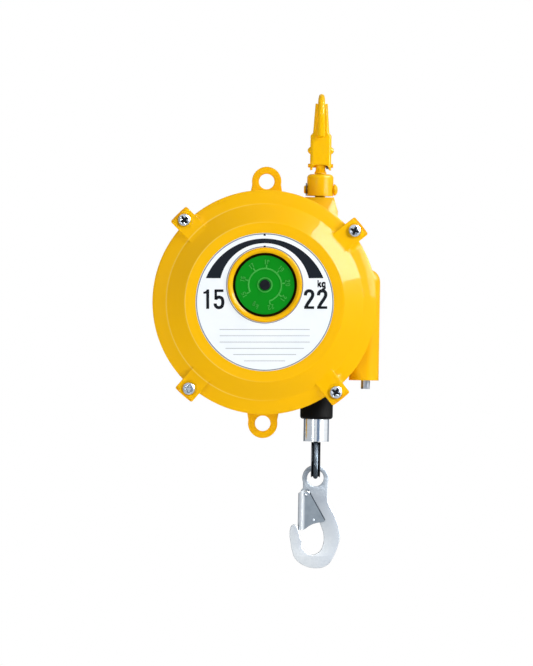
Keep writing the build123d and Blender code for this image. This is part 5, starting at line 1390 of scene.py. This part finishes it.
SCREW_CIRCLE, HEAD_R, HEAD_HIGH = 117.5, 6.3, 4.2
head_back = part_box("cover_screws")[0].y + HEAD_HIGH * MM
screw_spots = []
for angle, turn in ((39.4, 0.35), (135.3, 0.9), (229.7, 0.1), (309.3, 0.55)):
    across, up = SCREW_CIRCLE * cos(radians(angle)), SCREW_CIRCLE * sin(radians(angle))
    screw_spots.append(((axis_x + across * MM, head_back, axis_z + up * MM), turn))
cover_screw = screw_head("cover_screw", HEAD_R, HEAD_HIGH, 1.25, 4.3, 2.6, 2.9, 20.0)
screws("cover_screw_set", cover_screw, screw_spots, ["cover_screws"], "zinc")

# The dark crosses in three of them are painted shade: dark slabs in the cross recesses, which lie in shade.
# The photo shows the one at the lower left plain
CROSS_HALF, CROSS_REACH = 0.75, 3.3
quarter = [(CROSS_HALF, CROSS_HALF), (CROSS_HALF, CROSS_REACH), (-CROSS_HALF, CROSS_REACH)]
quarter += [(-CROSS_HALF, CROSS_HALF), (-CROSS_REACH, CROSS_HALF), (-CROSS_REACH, -CROSS_HALF)]
recess = slab("cross_recess", [quarter + [(-x, -y) for x, y in quarter]], 0.9)
recess.transform(Matrix.Translation((0, -2.4 * MM, 0)) @ Matrix.Rotation(radians(90), 4, "X"))
# painted shade: dark crosses in the recesses, in the black finish
screws("cover_screw_recesses", recess, screw_spots[:2] + screw_spots[3:], [], "ink")


# Flared sides of the two eyes, cast with the case
EYE_UP, EAR_R, EAR_HOLE_R, EAR_HALF, EAR_EDGE = 124.7, 15.2, 8.0, 5.1, 0.8
for name, turn in (("flared_eye_top", 0), ("flared_eye_foot", pi)):
    ears = [radians(180 - 6 * k) for k in range(-2, 33)]
    ear = [(-19.6, 99.0), (-17.2, 108.4)]
    ear += [(EAR_R * cos(a), EYE_UP + EAR_R * sin(a)) for a in ears]
    ear += [(17.2, 108.4), (19.6, 99.0)]
    eye_mesh = slab("flared_eye", [ear, circle(EAR_HOLE_R, 48, 0.0, EYE_UP)], EAR_HALF, EAR_EDGE)
    eye_mesh.transform(facing_front(0, 0, 0, turn))
    piece(name, eye_mesh, "housing", finish["case"], "yellow_case")

for node in (
    "rear_case", "front_cover", "rear_cap", "cap_screws", "rating_plate", "worm_plug", "worm", "swivel_cap",
    "hanger_pin",
    "pin_clip", "hook_nut", "latch_pin", "rubber_buffer", "stopper_sleeve", "set_screws", "rope_guide",
    "dial", "dial_screw",
):
    smooth_copy(node)


# Stage
card("front_card", 5.6, 30.0, rgb(84, 112, 148))
card("left_card", -168, -122, rgb(96, 104, 112))
card("left_front_card", -120, -10, rgb(206, 209, 213))
card("right_card", 126, 168, rgb(110, 124, 142))
FLOOR_TOP, FLOOR_THICK, FLOOR_R, FLOOR_GLOW = -2.10, 0.02, 2.2, 0.35
floor_rings = [
    [(x, y, z) for x, y in circle(FLOOR_R, 64, axis_x)] for z in (FLOOR_TOP - FLOOR_THICK, FLOOR_TOP)
]
floor = placed("floor", rings_mesh("floor", floor_rings))
floor_values = {"Base_Color": (0.92, 0.92, 0.92, 1), "Roughness": 0.9, "Emission_Color": (1, 1, 1, 1)}
floor_paint, floor_tree, floor_shader, _ = blank("pale_floor", **floor_values)
glow = calc(floor_tree, "MULTIPLY", seen_rays(floor_tree), FLOOR_GLOW)
put(floor_tree, floor_shader, "Emission Strength", glow)
floor.data.materials.append(floor_paint)
